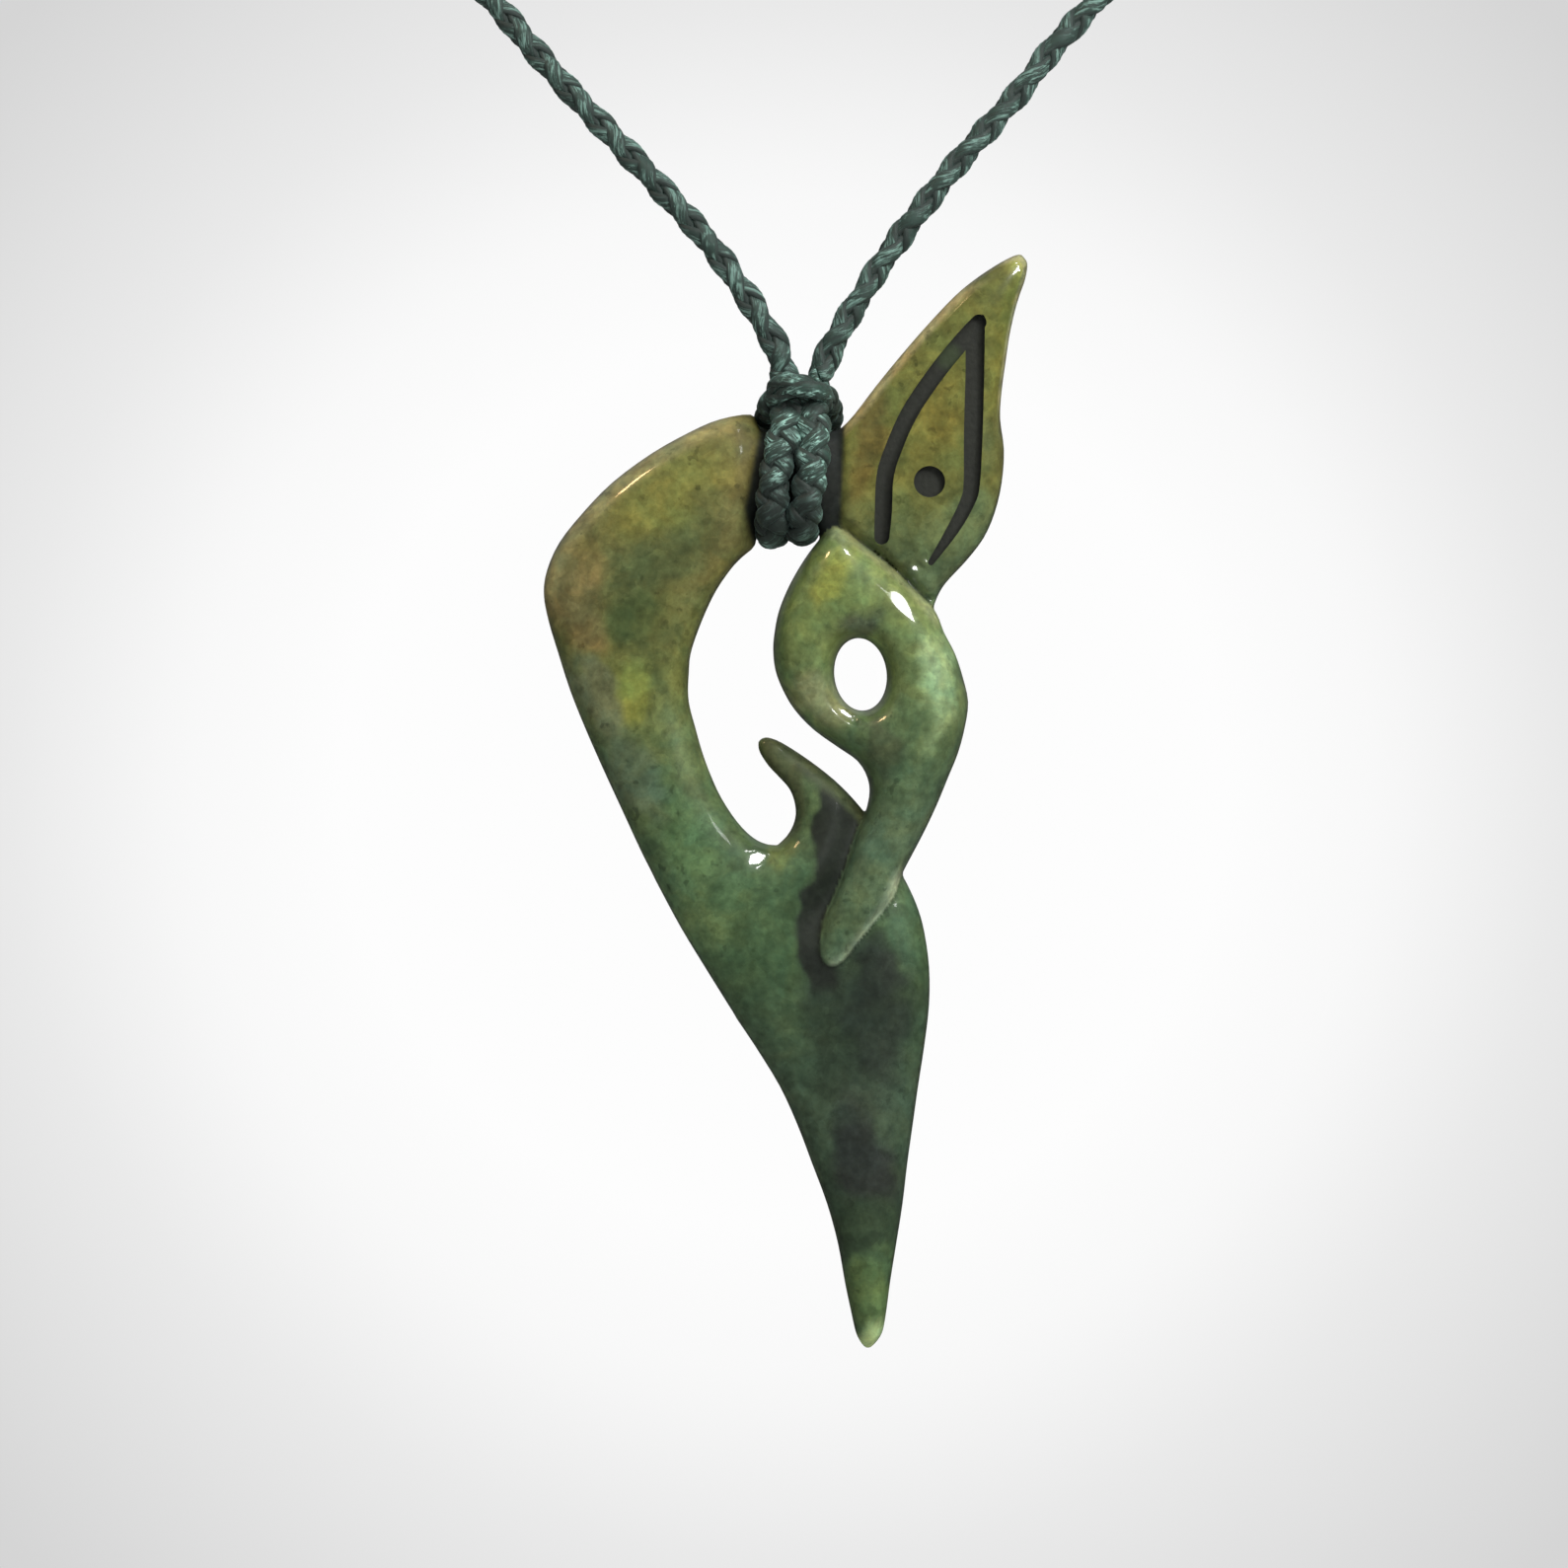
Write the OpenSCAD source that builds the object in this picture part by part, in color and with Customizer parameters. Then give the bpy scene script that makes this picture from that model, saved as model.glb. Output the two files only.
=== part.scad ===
// A jade manaia pendant on a braided neck cord, as it hangs from a neck, in millimetres.
// The origin is the nape, where the loop hangs. +Z is up, +X the wearer's left, -Y the front.

/* [Jade] */
// Height of the jade, from the tip of the head to the point at the foot
jade_h = 70; // [69:0.25:70.5]
// Fullness of the sections: 2 is an ellipse, more is flatter with a tighter edge
fullness = 2.7; // [2:0.1:3.5]
// Width of the oval hole through the bead
hole_w = 3.35; // [3:0.05:3.8]
// Height of the oval hole through the bead
hole_h = 4.65; // [4:0.05:5]
// Lean of the oval hole, in degrees
hole_lean = 6.5; // [0:0.5:15]
// Depth of the engraved lines and of the eye
engraving_d = 0.8; // [0.4:0.1:1.2]
// Diameter of the eye
eye_d = 2; // [1.6:0.1:2.4]

/* [Cord] */
// Diameter of the neck cord
cord_d = 2; // [1.8:0.05:2]
// Diameter of the cord where it is pulled tight round the jade
tight_d = 1.9; // [1.7:0.05:1.9]
// Clearance between two neighbouring pieces
gap = 0.1; // [0.05:0.05:0.15]
// Length of the knot that joins the cord's ends at the nape
knot_l = 8.8; // [7:0.2:8.8]
// Diameter of the knot that joins the cord's ends
knot_d = 4.6; // [4:0.1:6]

/* [Hidden] */
jade_colour = [0.33, 0.42, 0.20];
cord_colour = [0.13, 0.24, 0.23];

// Where the middle of the cord's seat on the jade hangs below the nape
seat_at = [0, -108, -154];

// The bar that the cord is tied round: its top, its foot and half its thickness
seat_top = 3.0;
seat_foot = -2.2;
seat_half = 2.0;

// Steps between two rows of a table, points round a section, sides of a cord
ROW_STEPS = 2;
SECTION_POINTS = 20;
CORD_SIDES = 8;
HITCH_STEPS = 28;
ROUTE_STEPS = 3;

// Columns of the limb tables: the two edges of a section in x and z, then how far it
// stands out to the front and to the back
EDGE_A = [0, 1];
EDGE_B = [2, 3];
FRONT = 4;
BACK = 5;

// The hook: from inside the head, over the seat, round the left and down into the body
HOOK = [
    [  5.9,    2.8,    5.6,   -2.8,  1.6, 2.0],
    [  3.3,    3.4,    3.3,   -3.0,  1.9, 2.1],
    [  2.4,    3.1,    2.4,   -2.3,  2.0, 2.0],
    [  0.0,    3.0,    0.0,   -2.2,  2.0, 2.0],
    [ -2.4,    3.0,   -2.4,   -2.2,  2.0, 2.0],
    [ -3.0,    3.3,   -2.9,   -2.4,  2.0, 2.0],
    [ -3.4,    4.05,  -3.15,  -4.3,  2.3, 2.3],
    [ -5.2,    3.8,   -3.8,   -5.05, 2.5, 2.4],
    [ -7.1,    3.0,   -4.5,   -5.8,  2.5, 2.4],
    [ -9.6,    1.6,   -5.4,   -7.1,  2.6, 2.4],
    [-12.1,   -0.25,  -6.1,   -8.5,  2.6, 2.4],
    [-14.0,   -2.2,   -6.7,  -10.0,  2.6, 2.4],
    [-15.5,   -4.1,   -7.1,  -11.3,  2.6, 2.4],
    [-16.3,   -5.9,   -7.2,  -12.45, 2.6, 2.4],
    [-16.5,   -7.4,   -7.25, -13.6,  2.6, 2.4],
    [-16.2,   -9.1,   -7.15, -14.6,  2.6, 2.4],
    [-15.6,  -11.1,   -6.8,  -15.9,  2.6, 2.4],
    [-14.8,  -13.6,   -6.35, -17.5,  2.6, 2.4],
    [-13.8,  -16.1,   -5.8,  -19.0,  2.6, 2.4],
    [-12.7,  -18.6,   -5.1,  -20.5,  2.6, 2.4],
    [-11.5,  -21.2,   -4.1,  -22.0,  2.6, 2.4],
    [-10.35, -23.7,   -3.1,  -23.0,  2.5, 2.4],
    [ -9.7,  -25.0,   -2.15, -23.45, 2.5, 2.4],
    [ -9.1,  -26.2,   -0.75, -23.7,  2.4, 2.3],
    [ -7.7,  -28.8,    1.45, -25.6,  2.2, 2.2],
    [ -6.0,  -31.5,    2.4,  -29.4,  1.8, 1.9]];

// The body: from the tip of the spur down to the point at the foot
BODY = [
    [-2.7,  -16.8,  -2.5,  -16.65, 0.2, 0.2],
    [-2.75, -17.0,  -2.1,  -16.6,  0.6, 0.7],
    [-2.65, -17.55, -1.2,  -16.95, 1.1, 1.3],
    [-2.1,  -18.4,   0.5,  -18.05, 1.5, 1.8],
    [-1.4,  -19.15,  2.1,  -19.3,  1.7, 2.1],
    [-0.75, -19.9,   3.4,  -20.6,  1.8, 2.3],
    [-0.4,  -20.85,  4.55, -22.05, 1.9, 2.4],
    [-0.4,  -21.85,  5.4,  -23.5,  1.9, 2.5],
    [-0.95, -22.95,  6.2,  -24.9,  1.9, 2.5],
    [-2.3,  -24.2,   6.9,  -26.2,  2.0, 2.5],
    [-4.2,  -26.5,   7.5,  -27.6,  2.1, 2.5],
    [-5.7,  -28.8,   7.9,  -29.1,  2.2, 2.5],
    [-6.2,  -31.3,   8.2,  -31.3,  2.4, 2.6],
    [-4.6,  -33.8,   8.2,  -33.7,  2.6, 2.6],
    [-3.0,  -36.3,   7.9,  -36.3,  2.6, 2.6],
    [-1.4,  -38.9,   7.5,  -38.9,  2.6, 2.5],
    [-0.25, -41.4,   7.15, -41.4,  2.5, 2.4],
    [ 0.7,  -43.9,   6.8,  -43.9,  2.4, 2.3],
    [ 1.65, -46.45,  6.5,  -46.45, 2.2, 2.1],
    [ 2.35, -49.0,   6.1,  -49.0,  2.0, 1.9],
    [ 2.8,  -51.5,   5.7,  -51.5,  1.7, 1.7],
    [ 3.2,  -53.4,   5.45, -53.4,  1.4, 1.4],
    [ 3.5,  -54.7,   5.2,  -54.7,  1.1, 1.1],
    [ 3.85, -55.4,   4.75, -55.4,  0.7, 0.7],
    [ 4.15, -55.7,   4.4,  -55.7,  0.2, 0.2]];

// The bead and the arm that runs on from it across the front of the body
BEAD = [
    [ 1.7,   -3.4,   2.3,   -3.1,  1.6, 1.6],
    [ 1.35,  -3.7,   2.9,   -3.35, 2.1, 2.0],
    [ 0.5,   -4.75,  3.85,  -4.05, 2.7, 2.2],
    [-0.3,   -6.0,   5.25,  -5.1,  3.0, 2.4],
    [-0.95,  -7.25,  6.55,  -6.25, 3.1, 2.4],
    [-1.45,  -8.55,  7.7,   -7.45, 3.2, 2.4],
    [-1.7,   -9.8,   8.65,  -8.6,  3.2, 2.4],
    [-1.8,  -10.95,  9.15,  -9.85, 3.2, 2.4],
    [-1.65, -12.3,   9.85, -11.2,  3.2, 2.4],
    [-1.15, -13.6,  10.35, -12.7,  3.2, 2.4],
    [-0.4,  -14.85, 10.7,  -14.3,  3.2, 2.4],
    [ 0.8,  -16.1,  10.5,  -15.9,  3.2, 2.3],
    [ 2.4,  -17.25, 10.05, -17.6,  3.3, 2.2],
    [ 3.6,  -18.1,   9.4,  -19.2,  3.3, 2.0],
    [ 4.25, -19.2,   8.7,  -20.9,  3.4, 1.7],
    [ 4.35, -20.4,   7.9,  -22.6,  3.4, 1.4],
    [ 3.85, -22.25,  6.9,  -24.5,  3.4, 1.2],
    [ 3.15, -24.2,   5.75, -26.65, 3.4, 1.0],
    [ 2.3,  -26.4,   4.55, -28.45, 3.4, 0.8],
    [ 1.4,  -28.1,   3.4,  -29.85, 3.3, 0.6],
    [ 1.0,  -29.6,   2.55, -31.0,  3.1, 0.4],
    [ 1.0,  -30.9,   2.05, -31.4,  2.8, 0.3],
    [ 1.3,  -31.4,   1.75, -31.55, 2.4, 0.2]];

// The leaf of the head: from its tip down into the bead
HEAD = [
    [14.1,  14.35, 14.25, 14.2,  0.2, 0.2],
    [13.7,  14.3,  14.5,  13.75, 0.7, 0.7],
    [12.7,  13.8,  14.35, 12.75, 1.1, 1.1],
    [11.25, 12.85, 14.05, 11.9,  1.4, 1.5],
    [ 9.85, 11.7,  13.7,  10.75, 1.7, 1.8],
    [ 8.05,  9.8,  13.35,  9.15, 1.9, 2.0],
    [ 6.4,   7.9,  13.1,   7.45, 2.0, 2.2],
    [ 4.85,  6.0,  12.85,  5.6,  2.1, 2.3],
    [ 3.4,   4.1,  12.75,  3.85, 2.1, 2.3],
    [ 1.6,   1.9,  13.0,   1.85, 2.1, 2.3],
    [ 1.5,  -0.3,  12.85, -0.3,  2.1, 2.3],
    [ 1.5,  -2.2,  12.4,  -2.2,  2.1, 2.3],
    [ 1.9,  -3.8,  11.7,  -3.8,  2.0, 2.3],
    [ 3.05, -5.25, 10.6,  -5.25, 1.9, 2.3],
    [ 4.6,  -6.65,  9.3,  -6.65, 1.8, 2.3],
    [ 5.55, -7.75,  8.7,  -7.7,  1.6, 2.2]];

// Columns of the engraved strokes: a point of the middle in x and z, and the width there
STROKE_W = 2;
LEFT_STROKE = [
    [ 5.15, -3.8,  0.95],
    [ 5.25, -2.2,  1.1],
    [ 5.35,  0.0,  1.1],
    [ 5.8,   1.6,  1.1],
    [ 6.9,   4.1,  1.1],
    [ 8.6,   6.65, 1.1],
    [10.3,   8.75, 1.1],
    [11.35,  9.95, 1.0]];
RIGHT_STROKE = [
    [11.25, 10.3,  0.7],
    [11.12,  9.5,  1.15],
    [11.1,   7.3,  1.2],
    [11.0,   2.85, 1.2],
    [10.9,  -0.4,  1.05],
    [10.6,  -1.6,  0.95],
    [ 9.7,  -3.3,  0.8],
    [ 8.3,  -5.4,  0.4]];
eye_at = [8.2, -0.25];
hole_at = [3.8, -12.55];

// Route of the cord from the hitch to the nape: the stretch by the hitch on either side,
// then the stretch round the neck, which the two sides share
LEFT_START = [
    [-1, -107.25, -148.6], [-1.02, -107.25, -147.4], [-1.85, -107.1, -145],
    [-5.1, -106.6, -139.9], [-9, -105.9, -135.3], [-13.2, -105, -130.8],
    [-17.2, -104, -126.3]];
RIGHT_START = [
    [1.15, -107.25, -148.6], [1.22, -107.25, -147.4], [2.4, -107.1, -144.7],
    [5.7, -106.6, -139.4], [9.4, -105.9, -134.5], [13.5, -105, -129.7],
    [17.4, -104, -124.9]];
ROUND_NECK = [
    [28, -100, -113], [38, -94, -99], [47, -84, -82], [53, -71, -63],
    [55.5, -56, -44], [54, -41, -28], [48, -27, -15.5], [37, -14.5, -7],
    [22, -5, -2], [10, -0.8, -0.2], [4.5, 0, 0]];

// Middles of the two turns round the seat in x, where they pass its top and its foot
LEFT_TURN = [-1.3, -1.8];
RIGHT_TURN = [0.85, 0.2];

// The band across the front of the hitch
BAND = [
    [-1.65, -1.35, 5.95], [-1.3, -2.05, 5.85], [-0.6, -2.4, 5.75],
    [0.2, -2.45, 5.7], [1, -2.2, 5.65], [1.75, -1.45, 5.65]];
BAND_STEPS = 2;
band_squeeze = 0.88;

// A smooth curve through the rows of a table, and its value at step t after row i
function row_at(rows, i) = rows[max(0, min(len(rows) - 1, i))];
function between(rows, i, t) =
    let (a = row_at(rows, i - 1), b = row_at(rows, i))
    let (c = row_at(rows, i + 1), d = row_at(rows, i + 2))
    b + t * (c - a) / 2 + t * t * (2 * a - 5 * b + 4 * c - d) / 2
      + t * t * t * (3 * b - a - 3 * c + d) / 2;
function smooth(rows, steps) = concat(
    [for (i = [0 : len(rows) - 2], s = [0 : steps - 1]) between(rows, i, s / steps)],
    [rows[len(rows) - 1]]);

function unit(v) = v / norm(v);
function power(v, e) = sign(v) * pow(abs(v), e);
function mirrored(points) = [for (p = points) [-p[0], p[1], p[2]]];
function reversed(points) = [for (i = [len(points) - 1 : -1 : 0]) points[i]];

// Points round one section of a limb, from the row that describes it
function section(row) = [for (k = [0 : SECTION_POINTS - 1])
    let (turn = 360 * k / SECTION_POINTS)
    let (across = power(cos(turn), 2 / fullness), deep = power(sin(turn), 2 / fullness))
    let (a = [row[EDGE_A[0]], row[EDGE_A[1]]], b = [row[EDGE_B[0]], row[EDGE_B[1]]])
    let (p = (a + b) / 2 + across * (b - a) / 2)
    [p[0], deep * (deep > 0 ? row[BACK] : row[FRONT]), p[1]]];

// Directions along a route, and a side direction carried along it without twist
function headings(p) = [for (i = [0 : len(p) - 1]) unit(row_at(p, i + 1) - row_at(p, i - 1))];
function squared(side, heading) = unit(side - (side * heading) * heading);
function sides(h) = [for (i = 0, s = squared([0, 1, 0.3], h[0]); i < len(h);
    i = i + 1, s = squared(s, h[min(i, len(h) - 1)])) s];

// Rings of a cord round the points of its route, "tall" times as high as wide
function cord_rings(p, d, tall = 1) = let (h = headings(p), s = sides(h))
    [for (i = [0 : len(p) - 1]) [for (k = [0 : CORD_SIDES - 1])
        let (turn = 360 * k / CORD_SIDES)
        p[i] + d / 2 * (cos(turn) * s[i] + tall * sin(turn) * cross(s[i], h[i]))]];

// Rings of one turn of cord round the seat, from its middle at the top and at the foot
function turn_rings(x_of) =
    let (half_z = (seat_top - seat_foot) / 2 + gap + tight_d / 2)
    let (half_y = seat_half + gap + tight_d / 2, mid_z = (seat_top + seat_foot) / 2)
    let (path = [for (k = [0 : HITCH_STEPS - 1])
        let (turn = 360 * k / HITCH_STEPS, up = power(sin(turn), 2 / 3))
        [(x_of[0] + x_of[1]) / 2 + up * (x_of[0] - x_of[1]) / 2,
         half_y * power(cos(turn), 2 / 3), mid_z + half_z * up]])
    [for (k = [0 : HITCH_STEPS - 1])
        let (ahead = path[(k + 1) % HITCH_STEPS], back = path[(k + HITCH_STEPS - 1) % HITCH_STEPS])
        let (out = unit(cross([1, 0, 0], ahead - back)))
        [for (j = [0 : CORD_SIDES - 1]) let (turn = 360 * j / CORD_SIDES)
            path[k] + tight_d / 2 * (cos(turn) * [1, 0, 0] + sin(turn) * out)]];

// The solid between rings of the same number of points; a closed one has no ends
module skin(rings, closed = false) {
    n = len(rings[0]);
    spans = closed ? len(rings) : len(rings) - 1;
    walls = [for (j = [0 : spans - 1], k = [0 : n - 1])
        let (a = j * n, b = ((j + 1) % len(rings)) * n, next = (k + 1) % n)
        [a + k, a + next, b + next, b + k]];
    ends = closed ? [] : [[for (k = [n - 1 : -1 : 0]) k],
        [for (k = [0 : n - 1]) (len(rings) - 1) * n + k]];
    polyhedron([for (ring = rings) each ring], concat(walls, ends), convexity = 6);
}

module limb(table) {
    skin([for (row = smooth(table, ROW_STEPS)) section(row)]);
}

// A shape drawn in x and z, cut into the jade from far in front down to y = floor_y
module cut_from_front(floor_y) {
    translate([0, floor_y, 0]) rotate([90, 0, 0]) linear_extrude(10) children();
}

module stroke(table) {
    rows = smooth(table, ROW_STEPS);
    middle = [for (r = rows) [r[0], r[1], 0]];
    aside = [for (h = headings(middle)) [-h[1], h[0]]];
    edge_a = [for (i = [0 : len(rows) - 1])
        [rows[i][0], rows[i][1]] + aside[i] * rows[i][STROKE_W] / 2];
    edge_b = [for (i = [0 : len(rows) - 1])
        [rows[i][0], rows[i][1]] - aside[i] * rows[i][STROKE_W] / 2];
    polygon(concat(edge_a, reversed(edge_b)));
}

module hole() {
    translate([hole_at[0], 0, hole_at[1]]) rotate([0, -hole_lean, 0]) rotate([90, 0, 0])
        scale([hole_w / hole_h, 1, 1]) cylinder(d = hole_h, h = 20, center = true, $fn = 36);
}

module jade_manaia() {
    engraving_floor = -(2.1 - engraving_d);
    color(jade_colour) translate(seat_at) resize([0, 0, jade_h], auto = true) difference() {
        union() {
            limb(HOOK);
            limb(BODY);
            limb(BEAD);
            limb(HEAD);
        }
        hole();
        cut_from_front(engraving_floor) {
            stroke(LEFT_STROKE);
            stroke(RIGHT_STROKE);
        }
        cut_from_front(engraving_floor) translate(eye_at) circle(d = eye_d, $fn = 24);
    }
}

module hitch_left() {
    color(cord_colour) translate(seat_at) skin(turn_rings(LEFT_TURN), closed = true);
}

module hitch_right() {
    color(cord_colour) translate(seat_at) skin(turn_rings(RIGHT_TURN), closed = true);
}

module hitch_band() {
    color(cord_colour) translate(seat_at)
        skin(cord_rings(smooth(BAND, BAND_STEPS), tight_d, band_squeeze));
}

module neck_cord_left() {
    route = concat(LEFT_START, mirrored(ROUND_NECK));
    color(cord_colour) skin(cord_rings(smooth(route, ROUTE_STEPS), cord_d));
}

module neck_cord_right() {
    route = concat(RIGHT_START, ROUND_NECK);
    color(cord_colour) skin(cord_rings(smooth(route, ROUTE_STEPS), cord_d));
}

module joining_knot() {
    edge_r = 1;
    color(cord_colour) rotate([0, 90, 0]) rotate_extrude($fn = 32) hull() {
        translate([0, -knot_l / 2]) square([0.01, knot_l]);
        for (side = [-1, 1])
            translate([knot_d / 2 - edge_r, side * (knot_l / 2 - edge_r)])
                circle(r = edge_r, $fn = 24);
    }
}

jade_manaia();
hitch_left();
hitch_right();
hitch_band();
neck_cord_left();
neck_cord_right();
joining_knot();
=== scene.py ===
import itertools
import math
from types import SimpleNamespace

import bmesh
import bpy
import numpy as np
from mathutils import Matrix, Vector


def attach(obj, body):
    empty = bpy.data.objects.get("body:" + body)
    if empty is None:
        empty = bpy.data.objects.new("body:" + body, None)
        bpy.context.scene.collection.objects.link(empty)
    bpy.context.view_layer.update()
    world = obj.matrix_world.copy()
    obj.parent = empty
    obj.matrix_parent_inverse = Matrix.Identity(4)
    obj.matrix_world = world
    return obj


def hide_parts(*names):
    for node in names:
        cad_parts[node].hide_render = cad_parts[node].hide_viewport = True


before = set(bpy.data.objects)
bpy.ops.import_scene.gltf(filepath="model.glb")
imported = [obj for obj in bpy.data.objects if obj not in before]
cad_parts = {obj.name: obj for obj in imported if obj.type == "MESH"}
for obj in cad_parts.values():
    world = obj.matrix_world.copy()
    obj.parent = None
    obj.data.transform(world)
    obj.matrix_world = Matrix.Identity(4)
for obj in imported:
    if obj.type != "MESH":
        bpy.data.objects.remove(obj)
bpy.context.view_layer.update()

# Lengths in the tables are millimetres, from the middle of the cord's seat on the jade
MM = 0.001
SEAT = np.array([0.0, -108.0, -154.0])
JADE_H = 70.0
BODY_NAME = "root"

# Limb tables: edge A in x and z, then edge B in x and z
HOOK = [
    [5.9, 2.8, 5.6, -2.8], [3.3, 3.4, 3.3, -3.3], [2.4, 3.1, 1.5, -3.95], [1.2, 3, 0.85, -3],
    [0, 3, 0.2, -2.25], [-2.3, 3, -2.45, -2.2], [-2.75, 3.35, -2.8, -2.9],
    [-3.2, 4.1, -2.95, -4.25], [-5.2, 3.8, -3.8, -5.05], [-7.1, 3, -4.5, -5.8],
    [-9.6, 1.6, -5.4, -7.1], [-12.1, -0.25, -6.1, -8.5], [-14, -2.2, -6.7, -10],
    [-15.5, -4.1, -7.1, -11.3], [-16.3, -5.9, -7.2, -12.45], [-16.5, -7.4, -7.25, -13.6],
    [-16.2, -9.1, -7.15, -14.6], [-15.6, -11.1, -6.8, -15.9], [-14.8, -13.6, -6.35, -17.5],
    [-13.8, -16.1, -5.8, -19], [-12.7, -18.6, -5.1, -20.5], [-11.5, -21.2, -4.1, -22],
    [-10.35, -23.7, -3.1, -23], [-9.7, -25, -2.15, -23.45], [-9.1, -26.2, -0.75, -23.7],
    [-7.7, -28.8, 1.45, -25.6], [-6.12, -31.4, 2.4, -29.4], [-4.5, -34, 3, -33]]
BODY = [
    [-2.7, -16.8, -2.5, -16.65], [-2.75, -17, -2.1, -16.6], [-2.65, -17.55, -1.2, -16.95],
    [-2.1, -18.4, 0.5, -18.05], [-1.4, -19.15, 2.1, -19.3], [-0.75, -19.9, 3.4, -20.6],
    [-0.4, -20.85, 4.55, -22.05], [-0.4, -21.85, 5.4, -23.5], [-0.95, -22.95, 6.2, -24.9],
    [-2.3, -24.2, 6.9, -26.2], [-4.2, -26.5, 7.5, -27.6], [-5.2, -28.8, 7.9, -29.1],
    [-5.4, -31.3, 8.2, -31.3], [-4.6, -33.8, 8.2, -33.7], [-3, -36.3, 7.9, -36.3],
    [-1.4, -38.9, 7.5, -38.9], [-0.25, -41.4, 7.15, -41.4], [0.7, -43.9, 6.8, -43.9],
    [1.65, -46.45, 6.5, -46.45], [2.35, -49, 6.1, -49], [2.8, -51.5, 5.7, -51.5],
    [3.2, -53.4, 5.45, -53.4], [3.5, -54.7, 5.2, -54.7], [3.85, -55.4, 4.75, -55.4],
    [4.15, -55.7, 4.4, -55.7]]
BEAD = [
    [2, -2.95, 2.2, -2.85], [1.45, -3.55, 2.95, -3.3], [0.5, -4.75, 3.85, -4.05],
    [-0.3, -6, 5.25, -5.1], [-0.95, -7.25, 6.55, -6.25], [-1.45, -8.55, 7.7, -7.45],
    [-1.7, -9.8, 8.65, -8.6], [-1.8, -10.95, 9.15, -9.85], [-1.65, -12.3, 9.85, -11.2],
    [-1.15, -13.6, 10.35, -12.7], [-0.4, -14.85, 10.7, -14.3], [0.8, -16.1, 10.5, -15.9],
    [2.4, -17.25, 10.05, -17.6], [3.6, -18.1, 9.4, -19.2], [4.25, -19.2, 8.7, -20.9],
    [4.35, -20.4, 7.9, -22.6], [3.85, -22.25, 6.9, -24.5], [3.15, -24.2, 5.75, -26.65],
    [2.3, -26.4, 4.55, -28.45], [1.4, -28.1, 3.4, -29.85], [1, -29.6, 2.55, -31],
    [1, -30.9, 2.05, -31.4], [1.3, -31.4, 1.75, -31.55]]
HEAD = [
    [14.1, 14.35, 14.25, 14.2], [13.7, 14.3, 14.5, 13.75], [12.7, 13.8, 14.35, 12.75],
    [11.25, 12.85, 14.05, 11.9], [9.85, 11.7, 13.7, 10.75], [8.05, 9.8, 13.35, 9.15],
    [6.4, 7.9, 13.1, 7.45], [4.85, 6, 12.85, 5.6], [3.4, 4.1, 12.75, 3.85],
    [1.6, 1.9, 13, 1.85], [1.5, -0.3, 12.85, -0.3], [1.5, -2.2, 12.4, -2.2],
    [1.9, -3.8, 11.7, -3.8], [3.05, -5.25, 10.6, -5.25], [4.6, -6.65, 9.3, -6.65],
    [5.55, -7.75, 8.72, -7.6], [6.3, -8.9, 8.3, -8.8]]

# The oval hole, and the engraved strokes: a point of the middle, and the width there
HOLE_AT = (3.8, -12.55)
HOLE_HALF = (1.675, 2.325)
HOLE_LEAN = math.radians(6.5)
LEFT_STROKE = [
    [5.15, -3.8, 0.95], [5.25, -2.2, 1.1], [5.35, 0, 1.1], [5.8, 1.6, 1.1],
    [6.9, 4.1, 1.1], [8.6, 6.65, 1.1], [10.3, 8.75, 1.1], [11.35, 9.95, 1]]
RIGHT_STROKE = [
    [11.6, 10.3, 0.25], [11.48, 9.9, 0.55], [11.3, 9.3, 0.9], [11.13, 8.4, 1.2], [11.1, 6.6, 1.2],
    [11, 2.85, 1.2], [10.9, -0.4, 1.05], [10.6, -1.6, 0.95], [9.7, -3.3, 0.8], [8.3, -5.4, 0.4]]
EYE_AT = (8.2, -0.25)
EYE_R = 1.0
ENGRAVING_FLOOR = -1.55
EYE_FLOOR = -1.8
CUT_FROM = -6
# Where the engraving's black is rubbed thin
WORN_AT = np.array([9.4, ENGRAVING_FLOOR, 7.8])
# Small flats worn on the front: limb, middle in x and z, half width, half height, lean in
# degrees. They face halfway between the viewer in front and the white light.
FLATS = [
    ("head", 7.9, -5.3, 0.2, 0.2, 0), ("head", 7.25, -5.8, 0.24, 0.34, -60),
    ("head", 8.3, -7.85, 0.18, 0.3, 40), ("bead", 6.42, -7.95, 0.36, 0.75, 33),
    ("bead", 2.9, -15.1, 0.22, 0.6, 50), ("head", 13.85, 13.4, 0.26, 0.36, 0),
    ("main", -2.8, -24.3, 0.55, 0.45, 0)]
FLAT_FACES = np.array([0.29, 0.927, 0.2375])

# How far a limb stands out to the front and to the back, and how soon it gets there
MAIN_FRONT, MAIN_BACK, MAIN_REACH = 2.75, 2.55, 1.4
HEAD_FRONT, HEAD_BACK, HEAD_REACH = 2.3, 2.4, 0.75
BEAD_FRONT, BEAD_BACK, BEAD_REACH = 3.9, 2.7, 1.15
SEAT_HALF, NECK_FRONT, NECK_BACK, ARM_BACK = 2.25, 1.8, 1.9, 0.9
FULLNESS = 2.3
CREASE = 0.22

PLAN_STEP = 0.1
PLAN_LOW = np.array([-18.0, -57.2])
PLAN_SHAPE = (345, 738)
# Rounds and pace of the swelling's relaxation, and how many steps it is carried on outside
SWELL_ROUNDS, SWELL_PACE, GROW_ROUNDS = 110, 1.75, 10
# The box that the surface is looked for in, and the size of its cells
BOX_LOW = np.array([-17.2, -4.4, -56.4])
BOX_SIZE = np.array([32.4, 7.8, 71.6])
CELL = 0.185
SLOPE_STEP = 0.02
LONGEST_MOVE = 0.12
SHARP_ANGLE = 0.7
NOISE_CELLS = 64


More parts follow.
